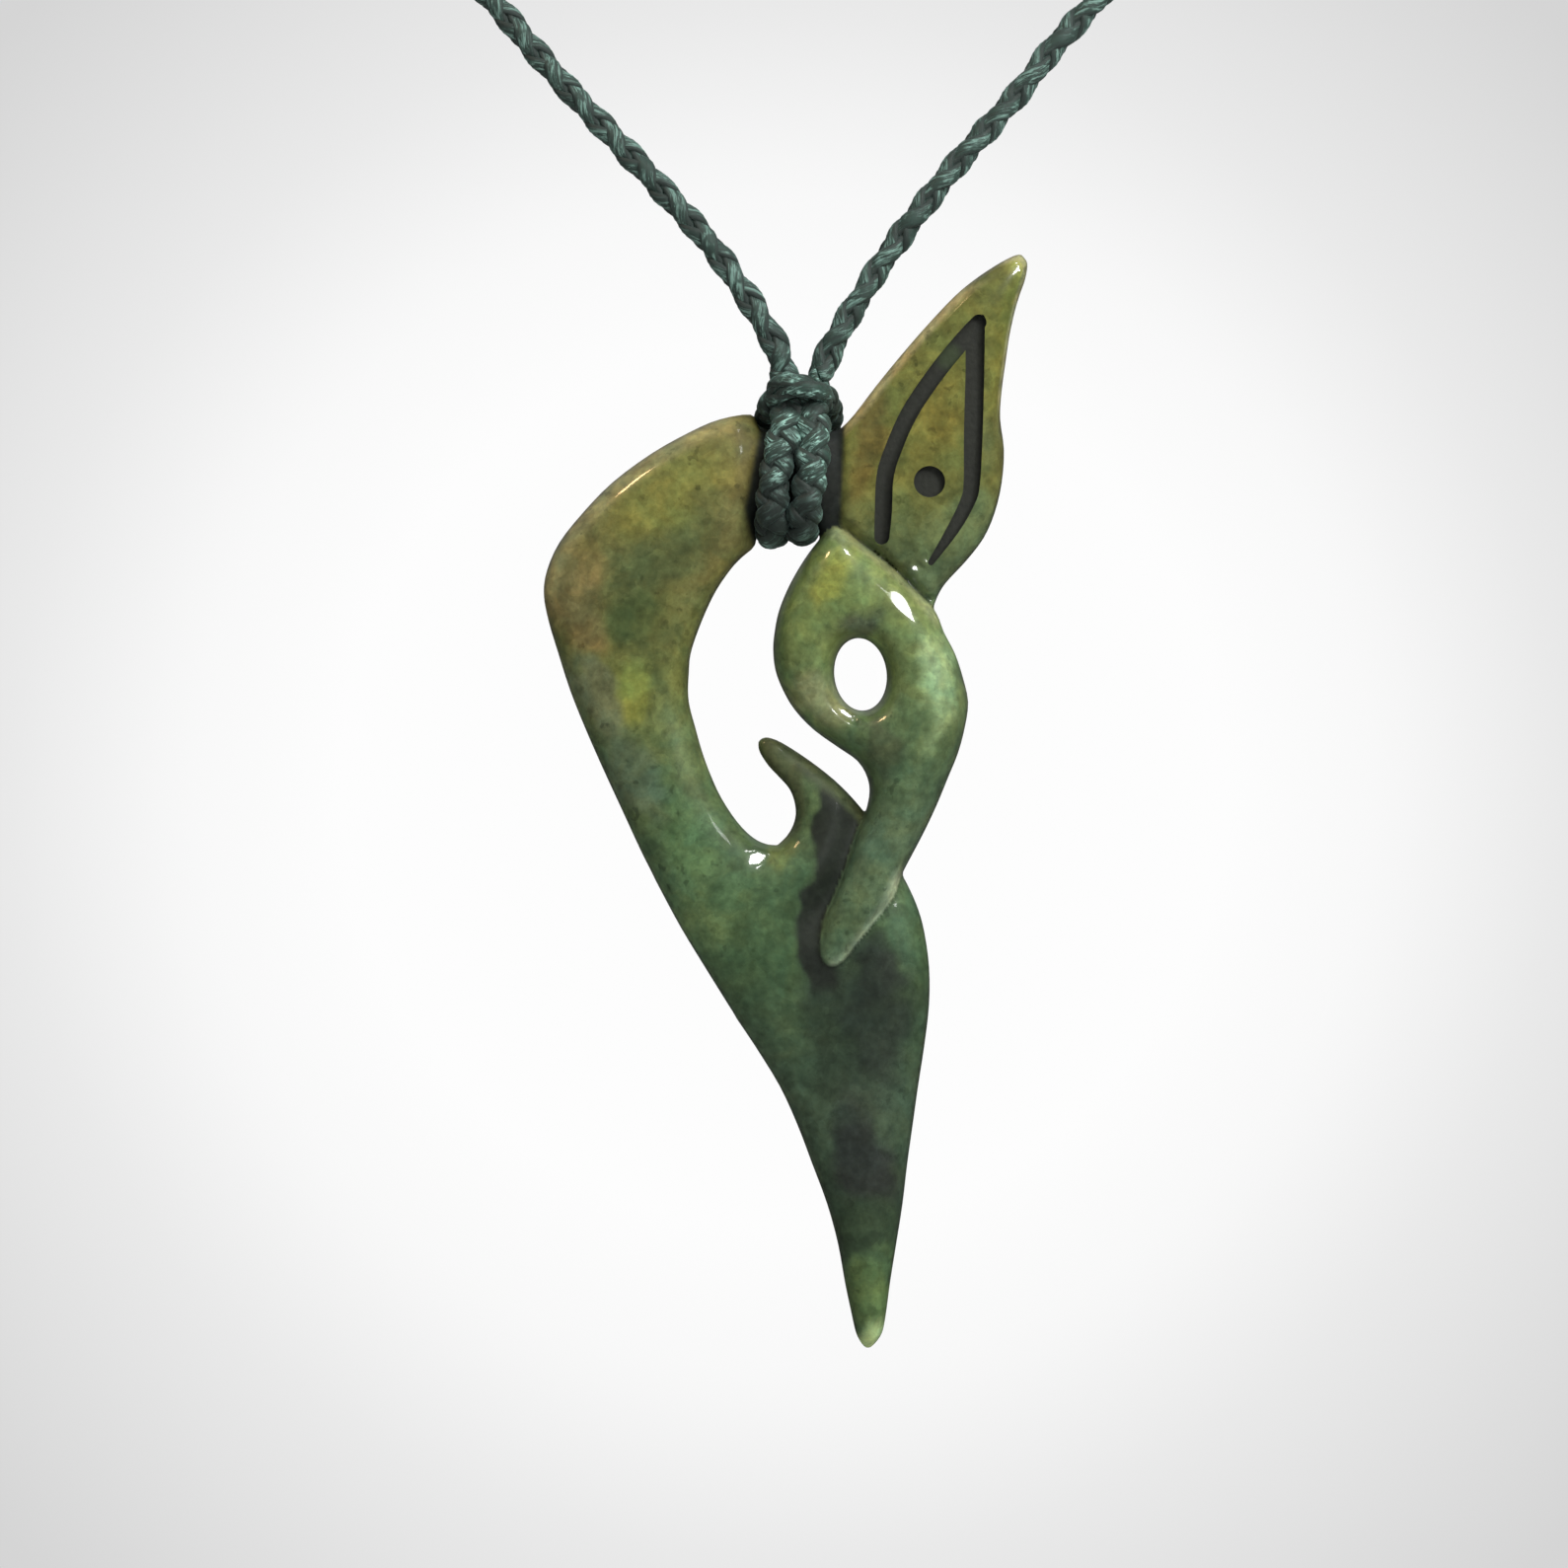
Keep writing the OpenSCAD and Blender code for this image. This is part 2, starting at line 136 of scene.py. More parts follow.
def smooth(rows, steps):
    """A smooth curve through the rows of a table, the same as the part's source uses."""
    rows = np.array(rows, float)
    last = len(rows) - 1
    found = []
    for i in range(last):
        a, b, c, d = (rows[min(max(i + k, 0), last)] for k in (-1, 0, 1, 2))
        for t in np.arange(steps) / steps:
            found.append(b + t * (c - a) / 2 + t * t * (2 * a - 5 * b + 4 * c - d) / 2
                         + t ** 3 * (3 * b - a - 3 * c + d) / 2)
    found.append(rows[last])
    return np.array(found)


def ramp(value, low, high):
    """0 below low, 1 above high, and smooth between them."""
    t = np.clip((value - low) / (high - low), 0, 1)
    return t * t * (3 - 2 * t)


def unit(vectors):
    return vectors / np.linalg.norm(vectors, axis=-1, keepdims=True)


def beside(vectors, ahead):
    """Unit vectors at right angles to ahead, as near as can be to the ones given."""
    return unit(vectors - (vectors * ahead).sum(-1, keepdims=True) * ahead)


# Zones of the plan. A zone is the product of its rows, and a row is a ramp over a share of x
# and a share of z: from the first value of their sum, outside the zone, to the second, inside it.
ZONES = {
    "seat": [(1, 0, -4.4, -1.9), (1, 0, 3.8, 1.6), (0, 1, -5, -3.2)],
    "thin spur": [(0, 1, -25.5, -21.5), (1, 0, -4, -2.2)],
    "arm beside the body": [(0, 1, -16.5, -18.5), (0, 1, -31.5, -26)],
    "arm over the body": [(0, 1, -19.5, -22.5)],
    "arm's tip": [(0, 1, -29.5, -31)],
    "lower arm": [(0, 1, -20, -24)],
    "back of the arm": [(0, 1, -17, -26)],
    "right rim of the bead": [(1, 0.3, -1.5, 0.5)],
    "neck": [(1, 0, 3, 2), (0, 1, -4, -3)],
    "back of the neck": [(1, 0, 3.8, 2.6), (0, 1, -4, -3)],
    "core": [(0, 1, -33.6, -32)],
    "rim of the spur": [(0, 1, -24, -22.5), (1, 0, -3, -2)],
    "right shoulder of the bead": [(0.85, 1, -2.6, -2), (1, 0, 0.5, 2), (0, 1, -9.8, -8.8)],
    "top of the hook": [(-0.68, 1, 1.72, 3.72), (1, 0, -3.6, -5)],
    "left of the body": [(0, 1, -19, -24), (1, 0.62, -30.72, -33.22)],
    "left of the head": [(-1.05, 1, -2.1, -1.2), (0, 1, 2, 4), (0, 1, 13, 11.5)],
    "right of the head": [(1, -0.1, 11.2, 11.8), (0, 1, 3.5, 5.5)],
    "right of the arm": [(1, -0.68, 22.6, 23.2), (0, 1, -24.5, -26)],
    "waist_shadow": [(0, 1, -4.9, -3.9), (0.8, 1, 7, 6)],
    "dull spur": [(0, 1, -25.5, -22.5), (1, 0, -4, -2.2)],
    "foot": [(0, 1, -33, -40)],
    "beside the seat": [(1, 0, -6, -4.4), (1, 0, 3.8, 2.8), (0, 1, -5.5, -4)],
    "inside of the hook": [(1, 0, -8.2, -7.4), (1, 0, -3.3, -3.8), (0, 1, -11, -14), (0, 1, -26.5, -25)],
    "right of the arm's tip": [(1, 0, 4.5, 5.5), (0, 1, -25.5, -26.5), (0, 1, -33, -31)],
    "ridge of the bead": [(1, 0, 3, 4), (0, 1, -13, -11.5), (0, 1, -4.3, -5)],
}


def zone(name, x, z):
    """1 inside a zone of the plan, 0 outside it."""
    inside = 1.0
    for per_x, per_z, outer, inner in ZONES[name]:
        inside = inside * ramp(per_x * x + per_z * z, outer, inner)
    return inside


def outline(table):
    rows = smooth(table, 3)
    return np.concatenate([rows[:, :2], rows[::-1, 2:4]])


def plan_points():
    x = PLAN_LOW[0] + PLAN_STEP * np.arange(PLAN_SHAPE[0])
    z = PLAN_LOW[1] + PLAN_STEP * np.arange(PLAN_SHAPE[1])
    return np.meshgrid(x, z, indexing="ij")


def depth_inside(loop, x, z):
    """Distance to a closed outline in the plan, positive inside it."""
    nearest = np.full(x.shape, 1e9)
    inside = np.zeros(x.shape, bool)
    for p, q in zip(loop, np.roll(loop, -1, axis=0)):
        e = q - p
        length = e @ e
        if length < 1e-12:
            continue
        wx, wz = x - p[0], z - p[1]
        t = np.clip((wx * e[0] + wz * e[1]) / length, 0, 1)
        nearest = np.minimum(nearest, (wx - t * e[0]) ** 2 + (wz - t * e[1]) ** 2)
        if e[1] != 0:
            inside ^= ((p[1] <= z) != (q[1] <= z)) & (wx < e[0] * wz / e[1])
    return np.where(inside, 1, -1) * np.sqrt(nearest)


def depth_in_hole(x, z):
    c, s = math.cos(HOLE_LEAN), math.sin(HOLE_LEAN)
    dx, dz = x - HOLE_AT[0], z - HOLE_AT[1]
    u, v = (c * dx + s * dz) / HOLE_HALF[0], (c * dz - s * dx) / HOLE_HALF[1]
    r = np.sqrt(u * u + v * v) + 1e-9
    steep = np.sqrt((u / HOLE_HALF[0]) ** 2 + (v / HOLE_HALF[1]) ** 2) / r + 1e-9
    return (1 - r) / steep


NEIGHBOURS = [(0, 1), (0, -1), (1, 1), (1, -1)]


def swell(depth, reach):
    """How full a limb is at each point of the plan: 0 at its outline, near 1 deep inside."""
    inside = depth > 0
    pull = (PLAN_STEP / reach) ** 2
    total = np.full(depth.shape, pull)
    within = []
    for axis, shift in NEIGHBOURS:
        other = np.roll(depth, shift, axis)
        gap = np.clip(depth / np.where(inside, depth - np.minimum(other, -1e-9), 1), 0.06, 1)
        total += np.where(other > 0, 1, 1 / gap)
        within.append((other > 0).astype(float))
    parity = np.indices(depth.shape).sum(0) % 2
    full = np.where(inside, 1 - np.exp(-np.maximum(depth, 0) / reach), 0)
    for _ in range(SWELL_ROUNDS):
        for colour in (0, 1):
            near = pull
            for (axis, shift), weight in zip(NEIGHBOURS, within):
                near = near + weight * np.roll(full, shift, axis)
            eased = full + SWELL_PACE * (near / total - full)
            full = np.where(inside & (parity == colour), eased, full)
    # Outside, the value goes on downwards as steeply as it rises just inside
    known = depth > 0.5 * PLAN_STEP
    rate = np.where(known, full / np.maximum(depth, 0.5 * PLAN_STEP), 0)
    grown = known
    for _ in range(GROW_ROUNDS):
        sums, count = (sum(np.roll(values, s, a) for a, s in NEIGHBOURS)
                       for values in (rate * grown, grown.astype(int)))
        rate = np.where(~grown & (count > 0), sums / np.maximum(count, 1), rate)
        grown = grown | (count > 0)
    return np.where(known, full, depth * np.where(grown, rate, 1 / reach))


def lean_distance(x, z, middle_x, middle_z, half_w, half_h, lean):
    """The distance from the middle of a leaning ellipse, 1 on its outline."""
    c, s = math.cos(math.radians(lean)), math.sin(math.radians(lean))
    dx, dz = x - middle_x, z - middle_z
    return np.hypot((c * dx + s * dz) / half_w, (c * dz - s * dx) / half_h)


def plan_maps():
    """Every map of the plan that the jade's shape is read from."""
    x, z = plan_points()
    hook, body, head, disc = (depth_inside(outline(table), x, z) for table in (HOOK, BODY, HEAD, BEAD))
    main = np.maximum(hook, body)
    arm_x = np.interp(-z, [16, 18, 20, 24, 28, 31.6, 40], [6, 6.5, 6.3, 4.6, 2.6, 1.6, 1.6])
    right_of_arm = ramp(x - arm_x, -1, 1)
    # The arm starts a little wider under the body's face, so that it shows in its full width
    over_body = ramp(main, 0, 1.2) * zone("arm over the body", x, z)
    wider = 0.2 + 0.25 * right_of_arm + 0.2 * zone("arm's tip", x, z)
    bead = np.minimum(disc + over_body * wider, -depth_in_hole(x, z))
    lower_arm = zone("lower arm", x, z)
    bead_reach = BEAD_REACH - 0.4 * lower_arm
    maps = {}
    for name, depth, reach in (("main", main, MAIN_REACH), ("head", head, HEAD_REACH),
                               ("bead", bead, bead_reach)):
        full = swell(depth, reach)
        maps[name] = full
        maps[name + "_slope"] = np.hypot(*np.gradient(full, PLAN_STEP))
    # The seat is waisted for the cord, the spur is thinner, and the body dips beside the arm
    seat = zone("seat", x, z)
    dip = (1 - ramp(-disc / (2 - 1.2 * right_of_arm), 0.05, 1)) * (1 - 0.8 * right_of_arm)
    dip = dip * zone("arm beside the body", x, z)
    front = MAIN_FRONT * (1 - 0.22 * zone("thin spur", x, z)) * (1 - 0.3 * dip)
    maps["main_front"] = front + seat * (SEAT_HALF - front)
    maps["main_back"] = MAIN_BACK + seat * (SEAT_HALF - MAIN_BACK)
    rim = (1 - ramp(-disc, 0, 0.6)) * zone("right rim of the bead", x, z)
    head_front = HEAD_FRONT * (1 - 0.27 * rim)
    maps["head_front"] = head_front + zone("neck", x, z) * (NECK_FRONT - head_front)
    maps["head_back"] = HEAD_BACK + zone("back of the neck", x, z) * (NECK_BACK - HEAD_BACK)
    maps["bead_front"] = BEAD_FRONT - 0.25 * lower_arm
    maps["bead_back"] = BEAD_BACK - (BEAD_BACK - ARM_BACK) * zone("back of the arm", x, z)
    for limb, at_x, at_z, half_w, half_h, lean in FLATS:
        high = maps[limb + "_front"] * np.clip(maps[limb], 0.01, 1) ** (1 / FULLNESS)
        far = lean_distance(x, z, at_x, at_z, half_w, half_h, lean)
        middle = high.flat[far.argmin()]
        plane = middle - (FLAT_FACES[0] * (x - at_x) + FLAT_FACES[2] * (z - at_z)) / FLAT_FACES[1]
        maps[limb + "_front"] *= 1 + (1 - ramp(far, 0.9, 2)) * (plane / high - 1)
    return maps


def sample(stack, x, z):
    """Values of a stack of plan maps at points, by a smooth cubic rule."""
    gx, gz = (x - PLAN_LOW[0]) / PLAN_STEP, (z - PLAN_LOW[1]) / PLAN_STEP
    ix = np.clip(np.floor(gx).astype(int), 1, PLAN_SHAPE[0] - 3)
    iz = np.clip(np.floor(gz).astype(int), 1, PLAN_SHAPE[1] - 3)
    tx, tz = gx - ix, gz - iz

    def weights(t):
        return (-t / 2 + t * t - t ** 3 / 2, 1 - 2.5 * t * t + 1.5 * t ** 3,
                t / 2 + 2 * t * t - 1.5 * t ** 3, -t * t / 2 + t ** 3 / 2)
    found = 0
    for i, wx in enumerate(weights(tx)):
        for k, wz in enumerate(weights(tz)):
            found = found + stack[:, ix + i - 1, iz + k - 1] * (wx * wz)
    return found


LIMBS = ("main", "head", "bead")
MAP_ORDER = [limb + part for limb in LIMBS for part in ("", "_slope", "_front", "_back")]


def smooth_max(a, b, width):
    near = np.maximum(width - np.abs(a - b), 0) / width
    return np.maximum(a, b) + near * near * width / 4


def limb_fields(values, y):
    """How far inside each limb a point is, in millimetres near the surface."""
    found = []
    for i in range(len(LIMBS)):
        full, slope, front, back = values[4 * i:4 * i + 4]
        thick = np.where(y < 0, front, back)
        deep = np.abs(y) / thick
        steep = FULLNESS * deep ** (FULLNESS - 1) / thick
        field = (full - deep ** FULLNESS) / np.sqrt(slope ** 2 + steep ** 2 + 0.02)
        found.append(field)
    return found


def jade_field(values, y):
    main, head, bead = limb_fields(values, y)
    return smooth_max(smooth_max(main, head, CREASE), bead, CREASE)


def surface_mesh(stack):
    """Vertices and four-sided faces of the jade's surface."""
    count = np.ceil(BOX_SIZE / CELL).astype(int)
    x, y, z = (BOX_LOW[i] + CELL * np.arange(count[i]) for i in range(3))
    values = sample(stack, *np.meshgrid(x, z, indexing="ij"))
    field = np.stack([jade_field(values, depth) for depth in y], axis=1)
    inside = field > 0
    # A cell that the surface crosses gets one vertex, in the middle of the crossings
    corners = list(itertools.product((0, 1), repeat=3))
    a, b, c = count - 1
    at_corners = np.array([inside[i:i + a, j:j + b, k:k + c] for i, j, k in corners])
    active = np.argwhere(at_corners.any(axis=0) & ~at_corners.all(axis=0))
    number = np.zeros((a, b, c), int)
    number[tuple(active.T)] = np.arange(len(active))
    total = np.zeros((len(active), 3))
    hits = np.zeros(len(active))
    for corner in corners:
        here = field[tuple((active + corner).T)]
        for axis in range(3):
            if corner[axis]:
                continue
            step = np.eye(3, dtype=int)[axis]
            there = field[tuple((active + corner + step).T)]
            crossed = (here > 0) != (there > 0)
            share = np.where(crossed, here / np.where(crossed, here - there, 1), 0)
            total += np.where(crossed[:, None], corner + share[:, None] * step, 0)
            hits += crossed
    verts = BOX_LOW + CELL * (active + total / hits[:, None])
    # Each edge of the grid that crosses the surface gets a face through the four cells round it
    quads = []
    for axis, (one, two) in enumerate(((1, 2), (2, 0), (0, 1))):
        first = inside.take(range(count[axis] - 1), axis)
        second = inside.take(range(1, count[axis]), axis)
        edges = np.argwhere(first != second)
        edges = edges[(edges[:, one] > 0) & (edges[:, two] > 0)]
        ring = []
        for back_one, back_two in ((0, 0), (1, 0), (1, 1), (0, 1)):
            cell = edges.copy()
            cell[:, one] -= back_one
            cell[:, two] -= back_two
            ring.append(number[tuple(cell.T)])
        ring = np.array(ring).T
        quads.append(np.where(first[tuple(edges.T)][:, None], ring, ring[:, ::-1]))
    return verts, np.concatenate(quads)


def settle(verts, stack, rounds):
    """Moves points onto the surface along the field's own slope."""
    def value(p):
        return jade_field(sample(stack, p[:, 0], p[:, 2]), p[:, 1])
    for _ in range(rounds):
        slope = [value(verts + step) - value(verts - step) for step in SLOPE_STEP * np.eye(3)]
        slope = np.stack(slope, axis=1) / (2 * SLOPE_STEP)
        move = -(value(verts) / np.maximum((slope ** 2).sum(1), 0.1))[:, None] * slope
        length = np.linalg.norm(move, axis=1, keepdims=True)
        verts = verts + move * np.minimum(1, LONGEST_MOVE / np.maximum(length, 1e-9))
    return verts


def relax(verts, quads, share):
    """Moves each point part of the way to the middle of its neighbours."""
    a, b = quads.reshape(-1), np.roll(quads, -1, axis=1).reshape(-1)
    here, there = np.concatenate([a, b]), np.concatenate([b, a])
    total = [np.bincount(here, column) for column in verts[there].T]
    return verts + share * (np.stack(total, axis=1) / np.bincount(here)[:, None] - verts)


def mesh_object(name, verts, faces, materials, smooth_shaded=True):
    mesh = bpy.data.meshes.new(name)
    mesh.from_pydata([tuple(v) for v in verts], [], [tuple(int(i) for i in f) for f in faces])
    for material in materials:
        mesh.materials.append(material)
    mesh.polygons.foreach_set("use_smooth", [smooth_shaded] * len(mesh.polygons))
    mesh.update()
    piece = bpy.data.objects.new(name, mesh)
    bpy.context.scene.collection.objects.link(piece)
    return piece


def edit_mesh(mesh, change):
    work = bmesh.new()
    work.from_mesh(mesh)
    change(work)
    work.to_mesh(mesh)
    work.free()


def face_outwards(work):
    bmesh.ops.recalc_face_normals(work, faces=work.faces)


def mark_sharp(work):
    """Keeps the engraving's edges crisp."""
    for edge in work.edges:
        kinds = {face.material_index for face in edge.link_faces}
        if len(kinds) > 1 or (1 in kinds and edge.calc_face_angle(0) > SHARP_ANGLE):
            edge.smooth = False


def store(mesh, name, kind, key, values):
    """Keeps a value for each point of a mesh, for its material to read."""
    mesh.attributes.new(name, kind, "POINT").data.foreach_set(key, values.reshape(-1))


def prism(loop, front, back, material):
    """A closed solid of an outline in x and z, between two depths."""
    n = len(loop)
    verts = [(x, depth, z) for depth in (front, back) for x, z in loop]
    faces = [list(range(n)), list(range(2 * n - 1, n - 1, -1))]
    faces += [[i, n + i, n + (i + 1) % n, (i + 1) % n] for i in range(n)]
    piece = mesh_object("cutter", verts, faces, [material], False)
    edit_mesh(piece.data, face_outwards)
    return piece


def stroke_loop(table):
    """The outline of a stroke with round ends."""
    rows = smooth(table, 5)
    middle = rows[:, :2]
    half = rows[:, 2:3] / 2
    ahead = unit(np.gradient(middle, axis=0))
    aside = np.stack([-ahead[:, 1], ahead[:, 0]], axis=1) * half
    bend = np.radians(np.arange(20, 180, 20))[:, None]
    first_end = middle[0] - np.cos(bend) * aside[0] - np.sin(bend) * ahead[0] * half[0]
    last_end = middle[-1] + np.cos(bend) * aside[-1] + np.sin(bend) * ahead[-1] * half[-1]
    return np.concatenate([middle + aside, last_end, (middle - aside)[::-1], first_end])


def circle_loop(at, radius, sides):
    turn = 2 * math.pi * np.arange(sides) / sides
    return np.stack([at[0] + radius * np.cos(turn), at[1] + radius * np.sin(turn)], axis=1)


def cut(piece, cutter):
    change = piece.modifiers.new("cut", "BOOLEAN")
    change.solver = "EXACT"
    change.operation = "DIFFERENCE"
    change.object = cutter
    change.material_mode = "TRANSFER"
    graph = bpy.context.evaluated_depsgraph_get()
    mesh = bpy.data.meshes.new_from_object(piece.evaluated_get(graph))
    piece.modifiers.clear()
    piece.data = mesh
    bpy.data.objects.remove(cutter)


def noise_map(x, z, size, seed):
    """Smooth seeded noise between -1 and 1, with lumps of about that size."""
    table = np.random.default_rng(seed).uniform(-1, 1, (NOISE_CELLS, NOISE_CELLS))
    gx, gz = x / size + 31.7, z / size + 31.3
    ix, iz = np.floor(gx).astype(int), np.floor(gz).astype(int)
    tx, tz = ramp(gx - ix, 0, 1), ramp(gz - iz, 0, 1)

    def at(a, b):
        return table[(ix + a) % NOISE_CELLS, (iz + b) % NOISE_CELLS]
    low = at(0, 0) * (1 - tx) + at(1, 0) * tx
    high = at(0, 1) * (1 - tx) + at(1, 1) * tx
    return low * (1 - tz) + high * tz


def linear(hex_colour):
    """A colour written as six hex digits, in linear light."""
    parts = [int(hex_colour[i:i + 2], 16) / 255 for i in (0, 2, 4)]
    return np.array([p / 12.92 if p < 0.04045 else ((p + 0.055) / 1.055) ** 2.4 for p in parts])


# The stone's colour by height, limb by limb
LADDERS = {
    "main": [(6, "6f6a3c"), (-6, "757343"), (-13, "68703f"), (-19, "5f7249"),
             (-25, "506847"), (-31, "486041"), (-40, "485a45"), (-50, "3e503a")],
    "head": [(14, "78793e"), (11, "70733a"), (6, "74763c"), (0, "70723c"), (-4, "626b42"), (-8, "5d7050")],
    "bead": [(-3, "7c8850"), (-8, "758750"), (-12, "708454"), (-17, "566b49"),
             (-23, "5c7155"), (-29, "56694a"), (-32, "5c7356")],
}
# Soft patches on each limb: middle in x and z, half width, half height, lean in degrees,
# colour and strength
PATCHES = {
    "main": {
        "ochre shoulder": (-14, -8, 2.3, 3.4, 10, "82754a", 0.9),
        "yellow top of the hook": (-8.6, -0.6, 4.6, 2.4, 38, "868644", 0.8),
        "olive middle of the hook": (-9.1, -5.6, 5.2, 2.3, 38, "5b653e", 0.85),
        "green grey of the hook": (-10.3, -9.2, 2.6, 1.9, 0, "4f5e38", 0.9),
        "yellow of the hook": (-10.8, -13.9, 2, 1.8, 20, "868d45", 0.9),
        "grey edge of the hook": (-13.4, -14.2, 1.5, 3.4, 25, "6e7659", 0.8),
        "pale lower hook": (-7.6, -17.6, 2, 2.2, 30, "687a4f", 0.7),
        "dark lower hook": (-10.8, -19.5, 1.7, 3.4, 30, "61735a", 0.8),
        "green bend of the hook": (-7.2, -23.2, 1.8, 2.4, 30, "607e52", 0.8),
        "green of the body": (-6, -27.4, 2.4, 2.8, 25, "627a50", 0.8),
        "yellow crotch": (-1.2, -23.2, 0.8, 1.1, 0, "7f8a4a", 0.55),
        # The next five are painted dark reflection and shade, running down the body under and beside the
        # raised arm
        "dark under the arm": (2, -32.6, 2.8, 2.2, 0, "333f34", 0.85),
        "dark right of the tip": (5.2, -31.2, 2.1, 2.5, 20, "2c342e", 0.95),
        "dark of the body": (5, -35.4, 2.7, 4.2, 0, "2f3830", 0.9),
        "dark green of the body": (2, -36.8, 2, 3.4, 15, "334132", 0.9),
        "dark core of the foot": (4.1, -43.6, 2.1, 4.2, 8, "303531", 0.95),
        "dark of the shin": (4.2, -48.2, 1.8, 2.2, 0, "384934", 0.85),
        "green right of the body": (7.1, -28.4, 0.9, 3, 8, "516a4b", 0.9),
        "pale foot": (4.5, -52.2, 2.4, 2.2, 0, "5d7648", 0.95),
        "yellow tip": (4.3, -55.6, 1.8, 1.9, 0, "aec487", 1),
    },
    "head": {
        "brown left panel": (4.2, 2.8, 1.3, 4.5, -20, "6f6536", 0.9),
        "ochre mid panel": (8.6, 3.4, 1.8, 3.2, -10, "7e793c", 0.7),
        "green low panel": (10.4, -3.4, 2.4, 1.6, 30, "687a52", 0.8),
        "olive right of the head": (12.4, 2, 0.9, 2.8, 0, "5e633a", 0.8),
        "pale tip of the head": (14, 13.9, 1, 1.3, 0, "a8ac5c", 0.8),
    },
    "bead": {
        "yellow top of the bead": (2.2, -6.2, 1.8, 1.2, 20, "959a4a", 0.85),
        # Painted shade above the hole, where its rim slopes down into it, and painted light on the bead's
        # right side, which faces the lamps
        "shade above the hole": (3.5, -9.4, 1.4, 0.9, 0, "5a634b", 0.9),
        "pale side of the bead": (8.9, -13.4, 1.3, 3.2, -10, "98b280", 0.9),
        "pale foot of the bead": (1.3, -14.6, 2, 1.3, -40, "8a9268", 0.95),
        "dull patch under the hole": (5.4, -16.8, 1.3, 2, 10, "515b40", 0.9),
    },
}
# Painted light along the front's rounded edges, where they catch the lamps: limb, zone, colour, strength,
# and how full the limb is where they end
PAINTED_EDGE_LIGHTS = [
    ("bead", "right shoulder of the bead", "a3ab80", 0.6, 0.4),
    ("main", "top of the hook", "a39b67", 0.8, 0.5), ("main", "left of the body", "667552", 0.9, 0.55),
    ("head", "left of the head", "cdba80", 1, 0.52), ("head", "right of the head", "b0ae80", 0.8, 0.26),
    ("bead", "right of the arm", "a3b596", 0.9, 0.62)]
# Near-black of the spur's core: partly dark stone, partly painted shade beside the arm
CORE_STONE_AND_SHADE_COLOUR = "222721"
SPUR_RIM_COLOUR = "52563c"
# Painted shadow on the waist beside the cord's turns
WAIST_SHADOW_COLOUR = "23282a"


def ladder(rows, z):
    heights = [-r[0] for r in rows]
    colours = np.array([linear(r[1]) for r in rows])
    return np.stack([np.interp(-z, heights, colours[:, i]) for i in range(3)], axis=1)


def tinted(colour, shade, weight):
    """A colour mixed at each point with a shade of six hex digits."""
    return colour + weight[:, None] * (linear(shade) - colour)


def stone_marks(points, values, warp_x, warp_z):
    """Where each limb is in front, and the places of dark stone and painted shade that change the colour
    and the polish.
    """
    x, y, z = points.T
    main, head, bead = limb_fields(values, y)
    rest = np.maximum(main, head)
    behind = ramp(y, 0, 1.5)
    # Near-black runs down the spur's core and on beside the arm: partly dark stone, partly painted shade
    # and dark reflection beside the raised arm
    arm_left = np.interp(-z, [18, 21.2, 25, 27, 28.5, 30, 32], [4, 4, 2.7, 2, 1.4, 1, 1.6])
    core_left = np.interp(-z, [17.5, 19.6, 24.3, 27.5, 31.3, 33.5], [-2.4, 0.5, 0.57, -0.06, -0.44, 0.6])
    core = ramp(warp_x - core_left, -0.3, 0.3) * ramp(x - arm_left, 1.2, 0.4) * (1 - behind)
    core = core * ramp(values[0], 0.2, 0.42) * ramp(warp_z, -17.6, -18.6) * zone("core", x, z)
    # Painted shade: the creases between limbs and the waist beside the cord's turns are darkened where
    # shade falls, and their polish is dulled
    crease_shade = ramp(np.abs(bead - rest + 0.05), 0.16, 0.02) * ramp(y, -0.3, -1)
    waist_shadow_left = np.interp(z, [-4.3, -2, 3.6], [-3, -3.55, -2.45])
    waist_shadow = ramp(x - waist_shadow_left, -0.35, 0.2) * ramp(x - 0.04 * z, 2.82, 2.47)
    waist_shadow = waist_shadow * zone("waist_shadow", x, z) * np.where((bead > rest) & (z < -2.6), 0, 1)
    # The plain back has no carved steps, so its colours pass softly from limb to limb
    seam = 0.08 + 0.9 * behind
    return {"head": ramp(head - main, -seam, seam), "bead": ramp(bead - rest, -seam, seam),
            "behind": behind, "core": core, "crease_shade": crease_shade, "waist_shadow": waist_shadow,
            "on bead": bead > rest, "off bead": bead < rest, "on head": head > np.maximum(main, bead)}


